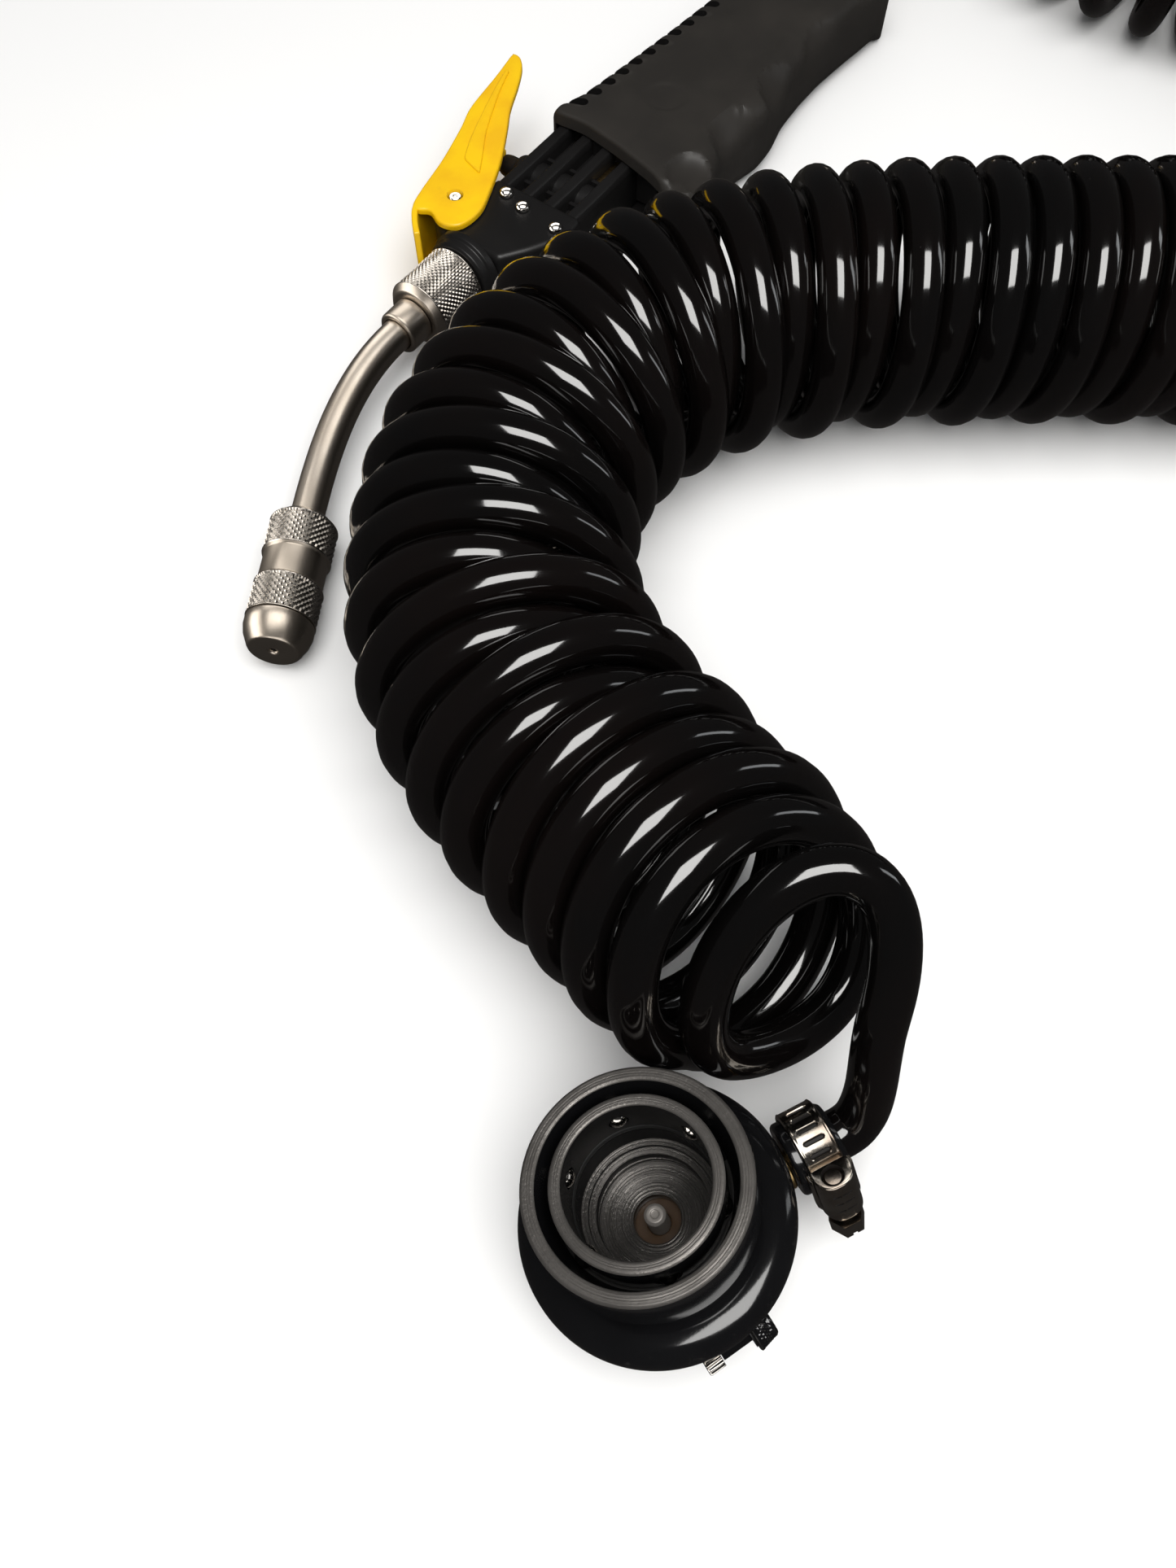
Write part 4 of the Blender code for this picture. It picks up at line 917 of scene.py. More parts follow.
def settle(points):
    """Pushes apart turns that are too close, off the coupler and up from the floor."""
    for _ in range(400):
        move = np.zeros_like(points)
        for turns in (1, 2):
            for k in range(turns * PER_TURN - 8, turns * PER_TURN + 9):
                apart = points[k:] - points[:-k]
                distance = np.linalg.norm(apart, axis=1)
                lack = np.maximum(TURN_GAP - distance, 0)
                push = apart / distance[:, None] * (lack * 0.25)[:, None]
                move[k:] += push
                move[:-k] -= push
        move += 0.2 * push_from_coupler(points, TUBE_R + 0.6)
        if np.abs(move).max() < 1e-3:
            break
        for i in range(3):
            move[:, i] = running_mean(running_mean(move[:, i], 3), 3)
        points = points + move
        points[:, 2] += np.maximum(FLOOR_Z - points[:, 2], 0)
    return points


def hose_line(step=3.0, straight=5):
    """The whole centre line, from the coupler's tail to the gun's inlet."""
    turns = wind_turns()
    free_first_turn(turns)
    turns = settle(turns)
    tail = np.array(TAIL_DIR)
    tail_start = np.array(TAIL_O + TAIL_DIR * HOSE_START)
    tail_end = np.array(TAIL_O + TAIL_DIR * (HOSE_START + 15.0))
    inlet_start = np.array(GUN @ Vector((GRIP_END + 46.5, GRIP_AXIS_Y, 0)))
    inlet_end = np.array(GUN @ Vector((HOSE_END, GRIP_AXIS_Y, 0)))
    first, last = turns[0], turns[-1]
    first_dir = turns[1] - first
    first_dir /= np.linalg.norm(first_dir)
    last_dir = last - turns[-2]
    last_dir /= np.linalg.norm(last_dir)
    lead_in, lead_out = np.linalg.norm(first - tail_end), np.linalg.norm(inlet_start - last)
    steps_in, steps_out = max(3, round(lead_in / step)), max(5, round(lead_out / step))
    out = [tail_start + (tail_end - tail_start) * k / straight for k in range(straight)]
    out += hermite(tail_end, tail * lead_in, first, first_dir * lead_in, steps_in)
    out += list(turns[:-1])
    out += hermite(last, last_dir * lead_out * 1.25, inlet_start,
                   -np.array(GUN_X) * lead_out * 1.25, steps_out)
    out += [inlet_start + (inlet_end - inlet_start) * k / straight for k in range(straight + 1)]
    out = np.array(out)
    out[:, 2] = np.maximum(out[:, 2], FLOOR_Z)
    # an easy bend where the hose leaves the clamp
    i, j = straight, straight + steps_in + 3
    lead = out[j + 1] - out[j - 1]
    out[i:j] = hermite(out[i], tail * 30.0, out[j], lead / np.linalg.norm(lead) * 36.0, j - i)
    return out


def doubled(line):
    """The line with a point added on the curve between each two."""
    at = np.arange(2 * (len(line) - 1) + 1) / 2.0
    i = np.clip(np.floor(at).astype(int), 0, len(line) - 2)
    t = (at - i)[:, None]
    padded = np.vstack([2 * line[0] - line[1], line, 2 * line[-1] - line[-2]])
    p0, p1, p2, p3 = padded[i], padded[i + 1], padded[i + 2], padded[i + 3]
    return 0.5 * (2 * p1 + (p2 - p0) * t + (2 * p0 - 5 * p1 + 4 * p2 - p3) * t**2
                  + (3 * p1 - p0 - 3 * p2 + p3) * t**3)


hose_centre = doubled(hose_line())
hose = shape("coil_hose_look", sweep_bm(hose_centre, TUBE_R, HOSE_SIDES), None, [HOSE], 60)
hose.data.transform(hose.matrix_world)
hose.matrix_world = Matrix.Identity(4)
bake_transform(hose)
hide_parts("coil_hose")

# ---------------------------------------------------------------- coupler: base, sleeve, tube
# base: foot and flange rim, round shoulder, then neck and the stepped inside
base_profile = fillet([(10.5, -15.0), (24.0, -15.0), (LOWER_R, -13.0), (LOWER_R, -1.6),
                       (30.6, -1.2), (FLANGE_R, -0.2), (FLANGE_R, 1.2)], 0.5)[:-4]
base_profile += [(FLANGE_R, 0.9)] + oval(26.2, 1.4, 6.3, 4.9, 0.0, math.pi / 2, 9)[1:]
base_profile += fillet([
    (24.6, 6.3), (NECK_R, 6.5), (NECK_R, 9.0), (23.2, 9.3), (22.5, 9.3), (22.5, 6.0),
    (19.7, 6.0), (19.7, 1.0), (15.0, 1.0), (15.0, 0.0), (13.4, 0.0), (13.4, -1.0),
    (11.6, -1.4), (8.0, -2.0), (5.6, -2.0), (5.6, -5.2), (12.0, -5.2), (12.0, -13.4),
    (10.5, -13.4)], 0.2, 2, closed=False)
base = shape("coupler_base_look", lathe_bm(base_profile, 128), COUPLER, [ANOD, MACHINED_SHADE], 32)
# the floor deep inside the bore takes painted shade
paint(base, 1, lambda at, normal: off_axis(at) < 15.5 and at.z > -2.6 and normal.z > 0.3)
stand(base, "coupler_base")
stand(turned("coupler_boss_look", [
    (0, 20.0), (9.0, 20.0), (9.0, 28.6), (8.3, 29.4), (3.2, 29.4), (3.2, 27.0), (0, 27.0)],
    TAIL, [ANOD], 64, 0.5), "coupler_base", body="coupler")
stand(turned("bleed_boss_look", [(0, 20.0), (3.6, 20.0), (3.6, 29.0), (0, 29.0)],
             BLEED_BOSS, [ANOD], 40, 0.7), "coupler_base", body="coupler")

sleeve = turned("coupler_sleeve_look", [
    (23.8, 12.0), (25.2, 12.0), (SLEEVE_R, 12.5), (SLEEVE_R, MOUTH_Z - 0.7),
    (SLEEVE_R - 0.6, MOUTH_Z), (22.7, MOUTH_Z), (22.35, MOUTH_Z - 0.35), (20.2, 18.2),
    (20.2, 15.8), (19.65, 15.8), (19.65, 14.3), (23.8, 14.3)],
    COUPLER, [ANOD, BARE, ANOD_BORE_SHADE], 128, 0.25)
# inward-facing bore walls take painted shade
paint(sleeve, 2, faces_axis)
paint(sleeve, 1, lambda at, normal: at.z > MOUTH_Z - 0.75 and normal.z > 0.45)
stand(sleeve, "coupler_sleeve")

tube = turned("coupler_tube_look", [
    (TUBE_IN_R, 1.3), (TUBE_OUT_R, 1.3), (TUBE_OUT_R, 15.6), (18.85, 15.6), (18.85, 16.7),
    (TUBE_OUT_R, 16.7), (TUBE_OUT_R, MOUTH_Z - 0.5), (TUBE_OUT_R - 0.5, MOUTH_Z),
    (TUBE_IN_R + 0.5, MOUTH_Z), (TUBE_IN_R, MOUTH_Z - 0.5), (TUBE_IN_R, 14.4), (17.9, 14.4),
    (17.9, 12.0), (TUBE_IN_R, 12.0), (TUBE_IN_R, 5.4), (14.9, 5.4), (14.9, 4.2), (13.2, 4.2),
    (13.2, 1.3)], COUPLER, [ANOD, BARE, MACHINED_SHADE, ANOD_BORE_SHADE], 96, 0.2, phase=0.01)
BALL_HOLE = [(0, 15.0), (2.28, 15.0), (2.28, 16.0), (2.68, 17.5), (2.68, 21.0), (0, 21.0)]
carve(tube, *[cutter(lathe_bm(BALL_HOLE, 28, 0.07),
                     frame(COUPLER_O + AXIS * BALL_Z, AXIS, radial(angle)), ANOD)
              for angle in BALL_ANGLES], angle=32)
paint(tube, 1, lambda at, normal: at.z > MOUTH_Z - 0.55 and normal.z > 0.45)
# inward-facing bore walls below the mouth take painted shade
paint(tube, 3, lambda at, normal: at.z < MOUTH_Z - 0.55 and faces_axis(at, normal))
# the up-facing floor deep inside takes painted shade
paint(tube, 2, lambda at, normal: at.z < 5.6 and normal.z > 0.5)
stand(tube, "coupler_tube")

for i, angle in enumerate(BALL_ANGLES):
    ball_out = radial(angle)
    ball = bmesh.new()
    bmesh.ops.create_uvsphere(ball, u_segments=32, v_segments=18, radius=BALL_R)
    ball_place = frame(COUPLER_O + AXIS * BALL_Z + ball_out * BALL_C, AXIS, ball_out)
    stand(shape(f"locking_ball_{i + 1}_look", ball, ball_place, [BRIGHT], 60),
          f"locking_ball_{i + 1}")

# ---------------------------------------------------------------- coupler: small inner pieces
stop_ring = turned("sleeve_stop_ring_look", [
    (19.08, 15.9), (20.0, 15.9), (20.0, 16.45), (19.08, 16.45)], COUPLER, [SPRING], 90, 0.15)
ring_gap = cutter(box_bm((15, -1.6, 14), (22, 1.6, 18)), frame(COUPLER_O, TAIL_DIR, AXIS), SPRING)
stand(carve(stop_ring, ring_gap), "sleeve_stop_ring")
stand_turned("plug_oring", oval(16.9, 13.2, 0.65, 1.05, 0, 2 * math.pi, 17)[:-1],
             COUPLER, RUBBER, 96, 0.05, angle=60)
stand_turned("valve_pin", [
    (0, -9.2), (4.2, -9.2), (4.2, -8.6), (7.2, -8.3), (7.2, -7.1), (PIN_R, -7.1),
    (PIN_R, PIN_TOP - 0.7), (PIN_R - 0.7, PIN_TOP), (1.1, PIN_TOP), (0.9, PIN_TOP - 0.25),
    (0, PIN_TOP - 0.25)], COUPLER, PIN, 48, 0.25)
stand_turned("valve_seal", [(PIN_R + 0.1, -7.0), (7.2, -7.0), (7.2, -5.5), (6.6, -5.25),
                            (PIN_R + 0.1, -5.25)], COUPLER, BROWN, 48)
stand_turned("bottom_plug", [(0, -15.0), (10.3, -15.0), (10.3, -13.65), (0, -13.65)],
             COUPLER, ANOD, 72)
spring("sleeve_spring", COUPLER, radius=21.1, z0=6.7, z1=13.6, per=36, wire=0.5, material=SPRING)
spring("valve_spring", COUPLER, radius=5.6, z0=-13.0, z1=-9.8, per=24, wire=0.4, material=SPRING)

# ---------------------------------------------------------------- coupler: tail and bleed screw
stand_turned("coupler_barb", [
    (1.7, 10.0), (3.25, 10.0), (3.25, 29.7), (6.0, 29.7), (6.4, 30.1), (6.4, 32.7),
    (6.0, 33.1), (2.5, 33.1)] + barb_ridges(34.5) + [(1.7, 47.5)], TAIL, BRASS, 36, 0.15)
stand_turned("hose_cuff_coupler", cuff_profile(HOSE_START, length=13.0, taper=1.2),
             TAIL, ANOD, 64, 0.4)


def bleed_knob(ridges=30):
    """A cone with diamond ridges on its flank."""
    profile = fillet([(0, -9.4), (3.4, -9.4), (3.9, -8.8), (4.8, -4.4), (4.3, -4.0),
                      (1.8, -4.0), (1.8, 3.9), (0, 3.9)], 0.25)
    points = []
    for p, q in zip(profile, profile[1:] + profile[:1]):
        points.append(p)
        if abs(q[1] - p[1]) > 3 and p[0] > 3.5:
            points += [(p[0] + (q[0] - p[0]) * j / 14, p[1] + (q[1] - p[1]) * j / 14)
                       for j in range(1, 14)]
    mesh = lathe_bm(points, ridges * 4)
    for v in mesh.verts:
        radius, z = off_axis(v.co), v.co.z
        if radius > 3.2 and -8.7 < z < -4.5:
            across = math.atan2(v.co.y, v.co.x) / (2 * math.pi) * ridges
            depth = 0.28 * max(zigzag(across + z * 0.8), zigzag(across - z * 0.8))
            scale_round(v, 1 - depth * min(1, (z + 8.7) / 0.5, (-4.5 - z) / 0.5) / radius)
    stand(shape("bleed_knob_look", mesh, BLEED, [ANOD], 25), "bleed_knob")


def bleed_tip():
    """A short post with twelve flutes."""
    outline = []
    for t in np.linspace(0, 2 * math.pi, 145)[:-1]:
        radius = 2.55 + 0.32 * math.cos(12 * t)
        outline.append((radius * math.cos(t), radius * math.sin(t)))
    stand(shape("bleed_tip_look", pillow_bm(outline, 4.1, 8.2, 0.15, 0.5, 4),
                BLEED, [BRIGHT], 40), "bleed_tip")


bleed_knob()
bleed_tip()
stand_turned("bleed_seal", [(1.95, -3.95), (3.5, -3.95), (3.5, -3.65), (1.95, -3.65)],
             BLEED, RUBBER, 40, 0.1)


# ---------------------------------------------------------------- hose clamps
def clamp_band(tag, place):
    """The band, axis Z, with twenty slots all round but under the housing, at X."""
    half = BAND_HALF
    flank = [(BAND_R, -half + 2 * half * j / 44) for j in range(2, 43)]
    profile = [(9.3, -half), (10.0, -half), (BAND_R, -4.2)] + flank
    profile += [(BAND_R, 4.2), (10.0, half), (9.3, half)]
    mesh = lathe_bm(profile, 360)
    pitch = 2 * math.pi * BAND_R / 20
    for v in mesh.verts:
        angle = math.atan2(v.co.y, v.co.x)
        if off_axis(v.co) < 10.25 or abs(angle) < 0.62:
            continue
        across = abs(((angle * BAND_R / pitch) % 1.0) - 0.5) * pitch
        from_slot = math.hypot(max(abs(v.co.z) - 2.15, 0), across) - 0.62
        if from_slot < 0:
            scale_round(v, 1 - 0.75 * min(1.0, -from_slot * 4.0) / BAND_R)
        elif abs(v.co.z) > 3.75:
            scale_round(v, 1 + 0.12 / BAND_R)
    band = shape(f"clamp_band_{tag}_look", mesh, place, [CLAMP, RECESS_SHADE], 40)
    # slot bottoms take painted shade, which also stands for the black hose seen through the slots
    paint(band, 1, lambda at, normal: 9.35 < off_axis(at) < 9.85 and abs(at.z) < 3.0)
    stand(band, f"clamp_band_{tag}")


def clamp_tail(tag, place):
    """Free end of the band, lifted over the first lap."""
    rings = []
    for degrees in range(38, 74, 2):
        angle = math.radians(degrees)
        low = 10.45 + max(0.0, degrees - 62) * 0.03
        high = low + 0.45
        half = 4.3 if degrees < 68 else 4.3 - (degrees - 68) * 0.5
        section = ((low, -half), (low, half), (high, half), (high, -half))
        rings.append([(r * math.cos(angle), r * math.sin(angle), z) for r, z in section])
    node = f"clamp_band_{tag}"
    stand(shape(f"clamp_tail_{tag}_look", loft_bm(rings), place, [CLAMP], 35), node,
          body=BODY[node])


def clamp_housing(tag, place, hose_frame, screw_frame):
    """The worm housing with a bore for the screw, six slits on top, and the band's ears."""
    node = f"clamp_housing_{tag}"
    outline = relax(resample([(-5.0, 9.9), (-4.9, 13.0), (-3.9, 15.4), (-1.9, 16.7), (1.9, 16.7),
                              (3.9, 15.4), (4.9, 13.0), (5.0, 9.9)], 0.4), 2)
    housing = shape(node + "_look", pillow_bm(outline, -6.8, 6.8, 0.45, 0.45, 3), place,
                    [CLAMP, RECESS_SHADE], 35)
    axis, out = hose_frame.col[0].to_3d(), hose_frame.col[2].to_3d()
    # the screw bore and the six slits are cut with painted shade on their walls
    tools = [cutter(lathe_bm([(0, -9), (2.75, -9), (2.75, 9), (0, 9)], 32), screw_frame, RECESS_SHADE)]
    for y in (-2.9, 0.0, 2.9):
        for x in (-1.43, 1.43):
            slit_place = frame(hose_frame @ Vector((x, y, 0)), axis, out)
            tools.append(cutter(capsule_bm(0.7, 2.6, 16.25, 18.0), slit_place, RECESS_SHADE))
    stand(carve(housing, *tools), node)
    ears = {"a": [(-5.6, 9.7), (-5.6, 11.2), (-5.1, 12.2), (-4.95, 9.7)],
            "b": [(4.95, 9.7), (5.1, 12.2), (5.6, 11.2), (5.6, 9.7)]}
    for side, ear in ears.items():
        mesh = pillow_bm(resample(ear, 0.3), -5.6, 5.6, 0.15, 0.15, 2)
        stand(shape(f"clamp_ear_{tag}_{side}", mesh, place, [CLAMP], 35), node, body=BODY[node])


def clamp_screw(tag, place):
    """The worm screw and its slotted hexagon head."""
    node = f"clamp_screw_{tag}"
    thread = [(0, -6.4)]
    for k in range(8):
        z = -6.2 + 1.55 * k
        thread += [(1.9, z), (2.5, z + 0.55), (2.5, z + 0.8), (1.9, z + 1.35)]
    thread += [(2.0, 6.9), (2.0, 9.0), (0, 9.0)]
    stand(shape(node + "_look", lathe_bm(thread, 32), place, [CLAMP], 30), node)
    profile = [(0, 8.4), (4.4, 8.4), (4.4, 12.6), (3.8, 13.2), (0, 13.2)]
    head = shape(f"clamp_screw_head_{tag}_look", lathe_bm(profile, 6), place, [CLAMP, RECESS_SHADE], 32)
    # the slot in the head is cut with painted shade on its walls
    carve(head, cutter(box_bm((-0.6, -6, 11.9), (0.6, 6, 15)), place, RECESS_SHADE))
    stand(head, node, body=BODY[node])


def clamp(tag, origin, axis, out):
    """A worm-drive clamp round a hose along axis, its housing on the out side."""
    hose_frame = frame(origin, axis, out)
    band_frame = frame(origin, out, axis)
    across = hose_frame.to_3x3() @ Vector((0, -1, 0))
    screw_frame = frame(hose_frame @ Vector((0, 0, 13.4)), axis, across)
    clamp_band(tag, band_frame)
    clamp_tail(tag, band_frame)
    clamp_housing(tag, frame(origin, axis, across), hose_frame, screw_frame)
    clamp_screw(tag, screw_frame)


tail_right = Vector((BARB_LEVEL.y, -BARB_LEVEL.x, 0))
tilt = math.radians(CLAMP_TILT)
clamp("coupler", TAIL_O + TAIL_DIR * CLAMP_AT, TAIL_DIR,
      AXIS * math.cos(tilt) + tail_right * math.sin(tilt))
clamp("gun", GUN @ Vector((285.5, GRIP_AXIS_Y, 0)), -GUN_X, Vector(UP))

# ---------------------------------------------------------------- gun: lance and nozzle
bend_start, bend_end = GUN_O - GUN_X * 11.0, NOZZLE_REAR - NOZZLE_DIR * 3.0
bend_span = (bend_end - bend_start).length
lance_line = [np.array(GUN_O + GUN_X * 16.0), np.array(GUN_O)]
lance_line += hermite(np.array(bend_start), np.array(-GUN_X) * bend_span * 1.05,
                      np.array(bend_end), np.array(NOZZLE_DIR) * bend_span * 1.05, 48)
lance_line += [np.array(p) for p in (bend_end, NOZZLE_REAR, NOZZLE_REAR + NOZZLE_DIR * 15.0)]
stand(shape("lance_tube_look", sweep_bm(lance_line, LANCE_R, 40, bore=3.6, bore_sides=16),
            None, [STEEL], 50), "lance_tube")
stand_turned("lance_collar", [(LANCE_R + 0.3, -9.5), (6.8, -9.5), (7.4, -8.8), (7.4, -0.3),
                              (LANCE_R + 0.3, -0.3)], BARREL, STEEL, 72, 0.5)

nut = knurled("lance_nut_look", [
    (LANCE_R + 0.35, 0.0), (9.0, 0.0), (9.8, 0.3), (NUT_R, 2.4), (NUT_R, NUT_L - 1.0),
    (NUT_R - 1.0, NUT_L), (9.2, NUT_L), (9.2, 17.0), (LANCE_R + 0.35, 17.0)],
    [(NUT_R, 2.6, NUT_L - 1.2)], pitch=1.75, depth=0.66, place=BARREL, mats=[KNURL, STEEL])
paint(nut, 1, lambda at, normal: at.z < 2.3 and off_axis(at) < NUT_R - 0.15)
stand(nut, "lance_nut")

nozzle = knurled("nozzle_sleeve_look", [
    (LANCE_R + 0.35, 0.0), (7.6, 0.0), (8.4, 0.3), (NOZZLE_R, 2.6), (NOZZLE_R, 14.6),
    (9.9, 15.4), (9.9, 25.2), (NOZZLE_R, 26.0), (NOZZLE_R, 38.0), (6.4, 38.0), (6.4, 16.0),
    (LANCE_R + 0.35, 16.0)], [(NOZZLE_R, 2.8, 14.4), (NOZZLE_R, 26.2, 37.8)],
    pitch=1.95, depth=0.70, place=NOZZLE, mats=[KNURL, STEEL])
paint(nozzle, 1, lambda at, normal: 14.9 < at.z < 25.7 and off_axis(at) > 9.5)
stand(nozzle, "nozzle_sleeve")

tip = turned("nozzle_tip_look", [
    (1.0, 30.0), (6.1, 30.0), (6.1, 38.3), (10.5, 38.3), (10.5, 41.0), (9.9, 43.6), (8.2, 47.2),
    (7.6, NOZZLE_L), (1.7, NOZZLE_L), (1.0, NOZZLE_L - 0.7)], NOZZLE, [STEEL, RECESS_SHADE], 96, 0.5)
# the orifice's bore takes painted shade
paint(tip, 1, lambda at, normal: off_axis(at) < 1.05)
stand(tip, "nozzle_tip")

# ---------------------------------------------------------------- gun: core
HEAD = [(30.5, -12.5), (30.5, 12.5), (33.5, 17.5), (39.0, 21.6), (52.0, 25.0), (60.0, 22.0),
        (60.0, 12.0), (63.0, 12.0), (63.0, -24.0), (52.0, -25.5), (40.0, -19.0)]
RIB = [(-2.6, -9.9), (2.6, -9.9), (2.6, 5.6), (1.9, 7.6), (-1.9, 7.6), (-2.6, 5.6)]
RIB_YS = (9.7, -0.1, -9.9, -19.7)
core_parts = [
    (pillow_bm(relax(resample(HEAD, 0.7), 2, 1), -11.5, 9.2, 1.6, 2.4, 6), GUN),
    (lathe_bm(fillet([(0, 19.8), (8.9, 19.8), (8.9, 23.4), (11.4, 23.4), (12.4, 24.2),
                      (12.4, 26.6), (13.4, 27.4), (13.4, 29.8), (9.0, 30.0), (9.0, 36.0),
                      (0, 36.0)], 0.35), 96), BARREL),
    (box_bm((59, -21.4, -5.5), (102.3, 8.9, 1.5)), GUN),
    (box_bm((100.4, -31.0, -8.5), (238, 0.6, 6.7)), GUN),
]
# four ribs along the gun, with two cross webs in each gap
for k, y in enumerate(RIB_YS):
    core_parts.append((pillow_bm(relax(resample(RIB, 0.3), 2, 1), 55.0, 103.0 + 0.7 * k,
                                 0.2, 0.2, 2),
                       frame(GUN @ Vector((0, y, 0)), GUN_Y, GUN_X)))
for y in (4.8, -5.0, -14.8):
    for x in (72.0, 86.0):
        core_parts.append((box_bm((x - 0.7, y - 2.6, 1.2), (x + 0.7, y + 2.6, 4.2)), GUN))
core_parts.append((lathe_bm(fillet([(4.2, -16.2), (6.2, -16.2), (6.2, 14.6), (5.4, 16.0),
                                    (4.2, 16.0)], 0.5), 56), PLUNGER))
stand(shape("gun_core_look", merge(core_parts), None, [PLAST_CORE_AND_SHADE], 35), "gun_core")

SCREW_DOME = ([(0, 9.5), (2.5, 9.5)] + oval(0, 9.9, 2.5, 1.5, 0.05, math.pi / 2 - 0.05, 8)
              + [(0, 11.4)])
for i, (x, y) in enumerate(((57.4, 4.0), (55.0, -4.9), (53.2, -20.4))):
    stand(shape(f"body_screw_{i + 1}_look", lathe_bm(SCREW_DOME, 36),
                frame(GUN @ Vector((x, y, 0)), GUN_X, UP), [BRIGHT], 50), f"body_screw_{i + 1}")

# ---------------------------------------------------------------- gun: grip
GRIP = [
    (98.5, 15.2), (100.0, 1.0), (97.0, -15.5), (92.5, -33.0),
    # edge with the finger hollows
    (88.0, -43.0), (91.0, -51.5), (101.0, -52.0), (112.0, -47.6), (124.0, -44.2),
    (136.0, -45.0), (147.0, -47.4), (158.0, -46.4), (171.0, -43.0), (188.0, -41.6),
    (204.0, -41.4), (220.0, -42.6), (236.0, -44.2),
    # end and the other edge
    (249.8, -45.0), (249.8, 1.5), (226.0, 2.2), (198.0, 4.3), (163.0, 7.2), (132.0, 10.4),
    (112.0, 12.8), (104.0, 16.5)]
# finger hollows: centre x, y, half length, half width, depth
HOLLOWS = ((101.0, -43.5, 9.5, 8.0, 3.6), (130.0, -45.0, 12.0, 8.5, 4.2),
           (162.0, -44.5, 12.0, 8.0, 3.8), (196.0, -44.5, 13.0, 7.5, 3.6))
GRIP_POCKET = [(80, 13.4), (103.5, 13.0), (112, 6.4), (130, 4.6), (240, 1.6), (240, -33.0),
               (118, -33.0), (100, -38), (80, -38)]


def grip_rim(p):
    """Rim radius of the grip's upper face at an outline point."""
    if p[0] < 104 and -40 < p[1] < 14:
        return 1.3
    if p[0] > 246:
        return 1.5
    return 8.5 if p[1] < -30 else 5.0


def grip_dents(x, y):
    """Finger hollows along one edge and a shallow round dish on the flank."""
    deep = np.zeros_like(x)
    for centre_x, centre_y, half_x, half_y, depth in HOLLOWS:
        off = ((x - centre_x) / half_x)**2 + ((y - centre_y) / half_y)**2
        deep = np.maximum(deep, depth * np.clip(1 - off, 0, 1)**0.75)
    off = np.hypot(x - 128.5, y + 15.1)
    return np.maximum(deep, 0.45 * np.clip((8.0 - off) / 1.2, 0, 1))


def grip_shell():
    outline = relax(resample(GRIP, 0.9), 3, 2)
    rim = np.array([grip_rim(p) for p in outline])
    for _ in range(6):
        rim = (np.roll(rim, 1) + rim + np.roll(rim, -1)) / 3
    mesh = mound_bm(outline, GRIP_LOW, GRIP_HIGH, rim * 0.85, rim, grid=1.1, dent=grip_dents)
    grip = shape("grip_shell_look", mesh, GUN, [PLAST], 32)
    # the cut walls of the pocket, the inlet bore and the slots take the core's darker black as
    # painted shade
    tools = [cutter(prism_bm(GRIP_POCKET, -10.4, 8.2), GUN, PLAST_CORE_AND_SHADE),
             cutter(lathe_bm([(0, 230), (8.6, 230), (8.6, 260), (0, 260)], 48), INLET, PLAST_CORE_AND_SHADE)]
    # a row of slanting slots along the +Y edge
    slot_dir = GUN.to_3x3() @ Vector((-0.35, 1.0, 0))
    for k in range(12):
        x = 107.0 + 7.6 * k
        y = 12.6 - (x - 112.0) * 0.1
        tools.append(cutter(capsule_bm(3.9, 13.0, GRIP_LOW + 3.0, GRIP_HIGH + 3, 10),
                            frame(GUN @ Vector((x, y - 1.2, 0)), slot_dir, UP), PLAST_CORE_AND_SHADE))
    stand(carve(grip, *tools, angle=32), "grip_shell")


grip_shell()

# ---------------------------------------------------------------- gun: lever and plunger
LEVER_OUTER = [(117.5, 46.5), (103.0, 43.6), (84.0, 40.4), (73.0, 36.4), (56.0, 31.2),
               (40.0, 27.6), (31.5, 25.0), (25.5, 20.5), (21.0, 15.8)]
LEVER_INNER = [(117.8, 43.2), (113.5, 39.0), (104.5, 34.0), (92.0, 28.2), (82.8, 22.6),
               (67.6, 14.0), (52.4, 7.4), (44.0, 4.4), (36.4, 4.4), (31.9, 6.6), (30.4, 12.6),
               (33.2, 18.4), (31.0, 21.4)]
FLANK_LOW = [(108.0, 40.6), (98.0, 37.0), (88.0, 32.6), (76.0, 26.8), (66.0, 20.6), (57.0, 15.2)]
FLANK_HIGH = [(60.0, 24.6), (70.0, 29.4), (84.0, 34.6), (98.0, 39.4), (107.0, 42.0)]


def lever_slab(outline, z0, z1, r_low, r_high, name="cutter"):
    """A rounded slab from an outline in the gun's x and y."""
    outline = np.array(outline) - np.array([PIN_X, PIN_Y])
    return shape(name, pillow_bm(outline, z0, z1, r_low, r_high, 5), LEVER, [YELLOW], 35)


def lever_web(curve):
    """Outline of a strip that follows the lever's outer edge."""
    near, far = [], []
    for i, p in enumerate(curve):
        before, after = Vector(curve[max(i - 1, 0)]), Vector(curve[min(i + 1, len(curve) - 1)])
        along = (after - before).normalized()
        across = Vector((-along.y, along.x))
        near.append(tuple(Vector(p) + across * 0.12))
        far.append(tuple(Vector(p) + across * 2.2))
    return resample(near + far[::-1], 0.6)


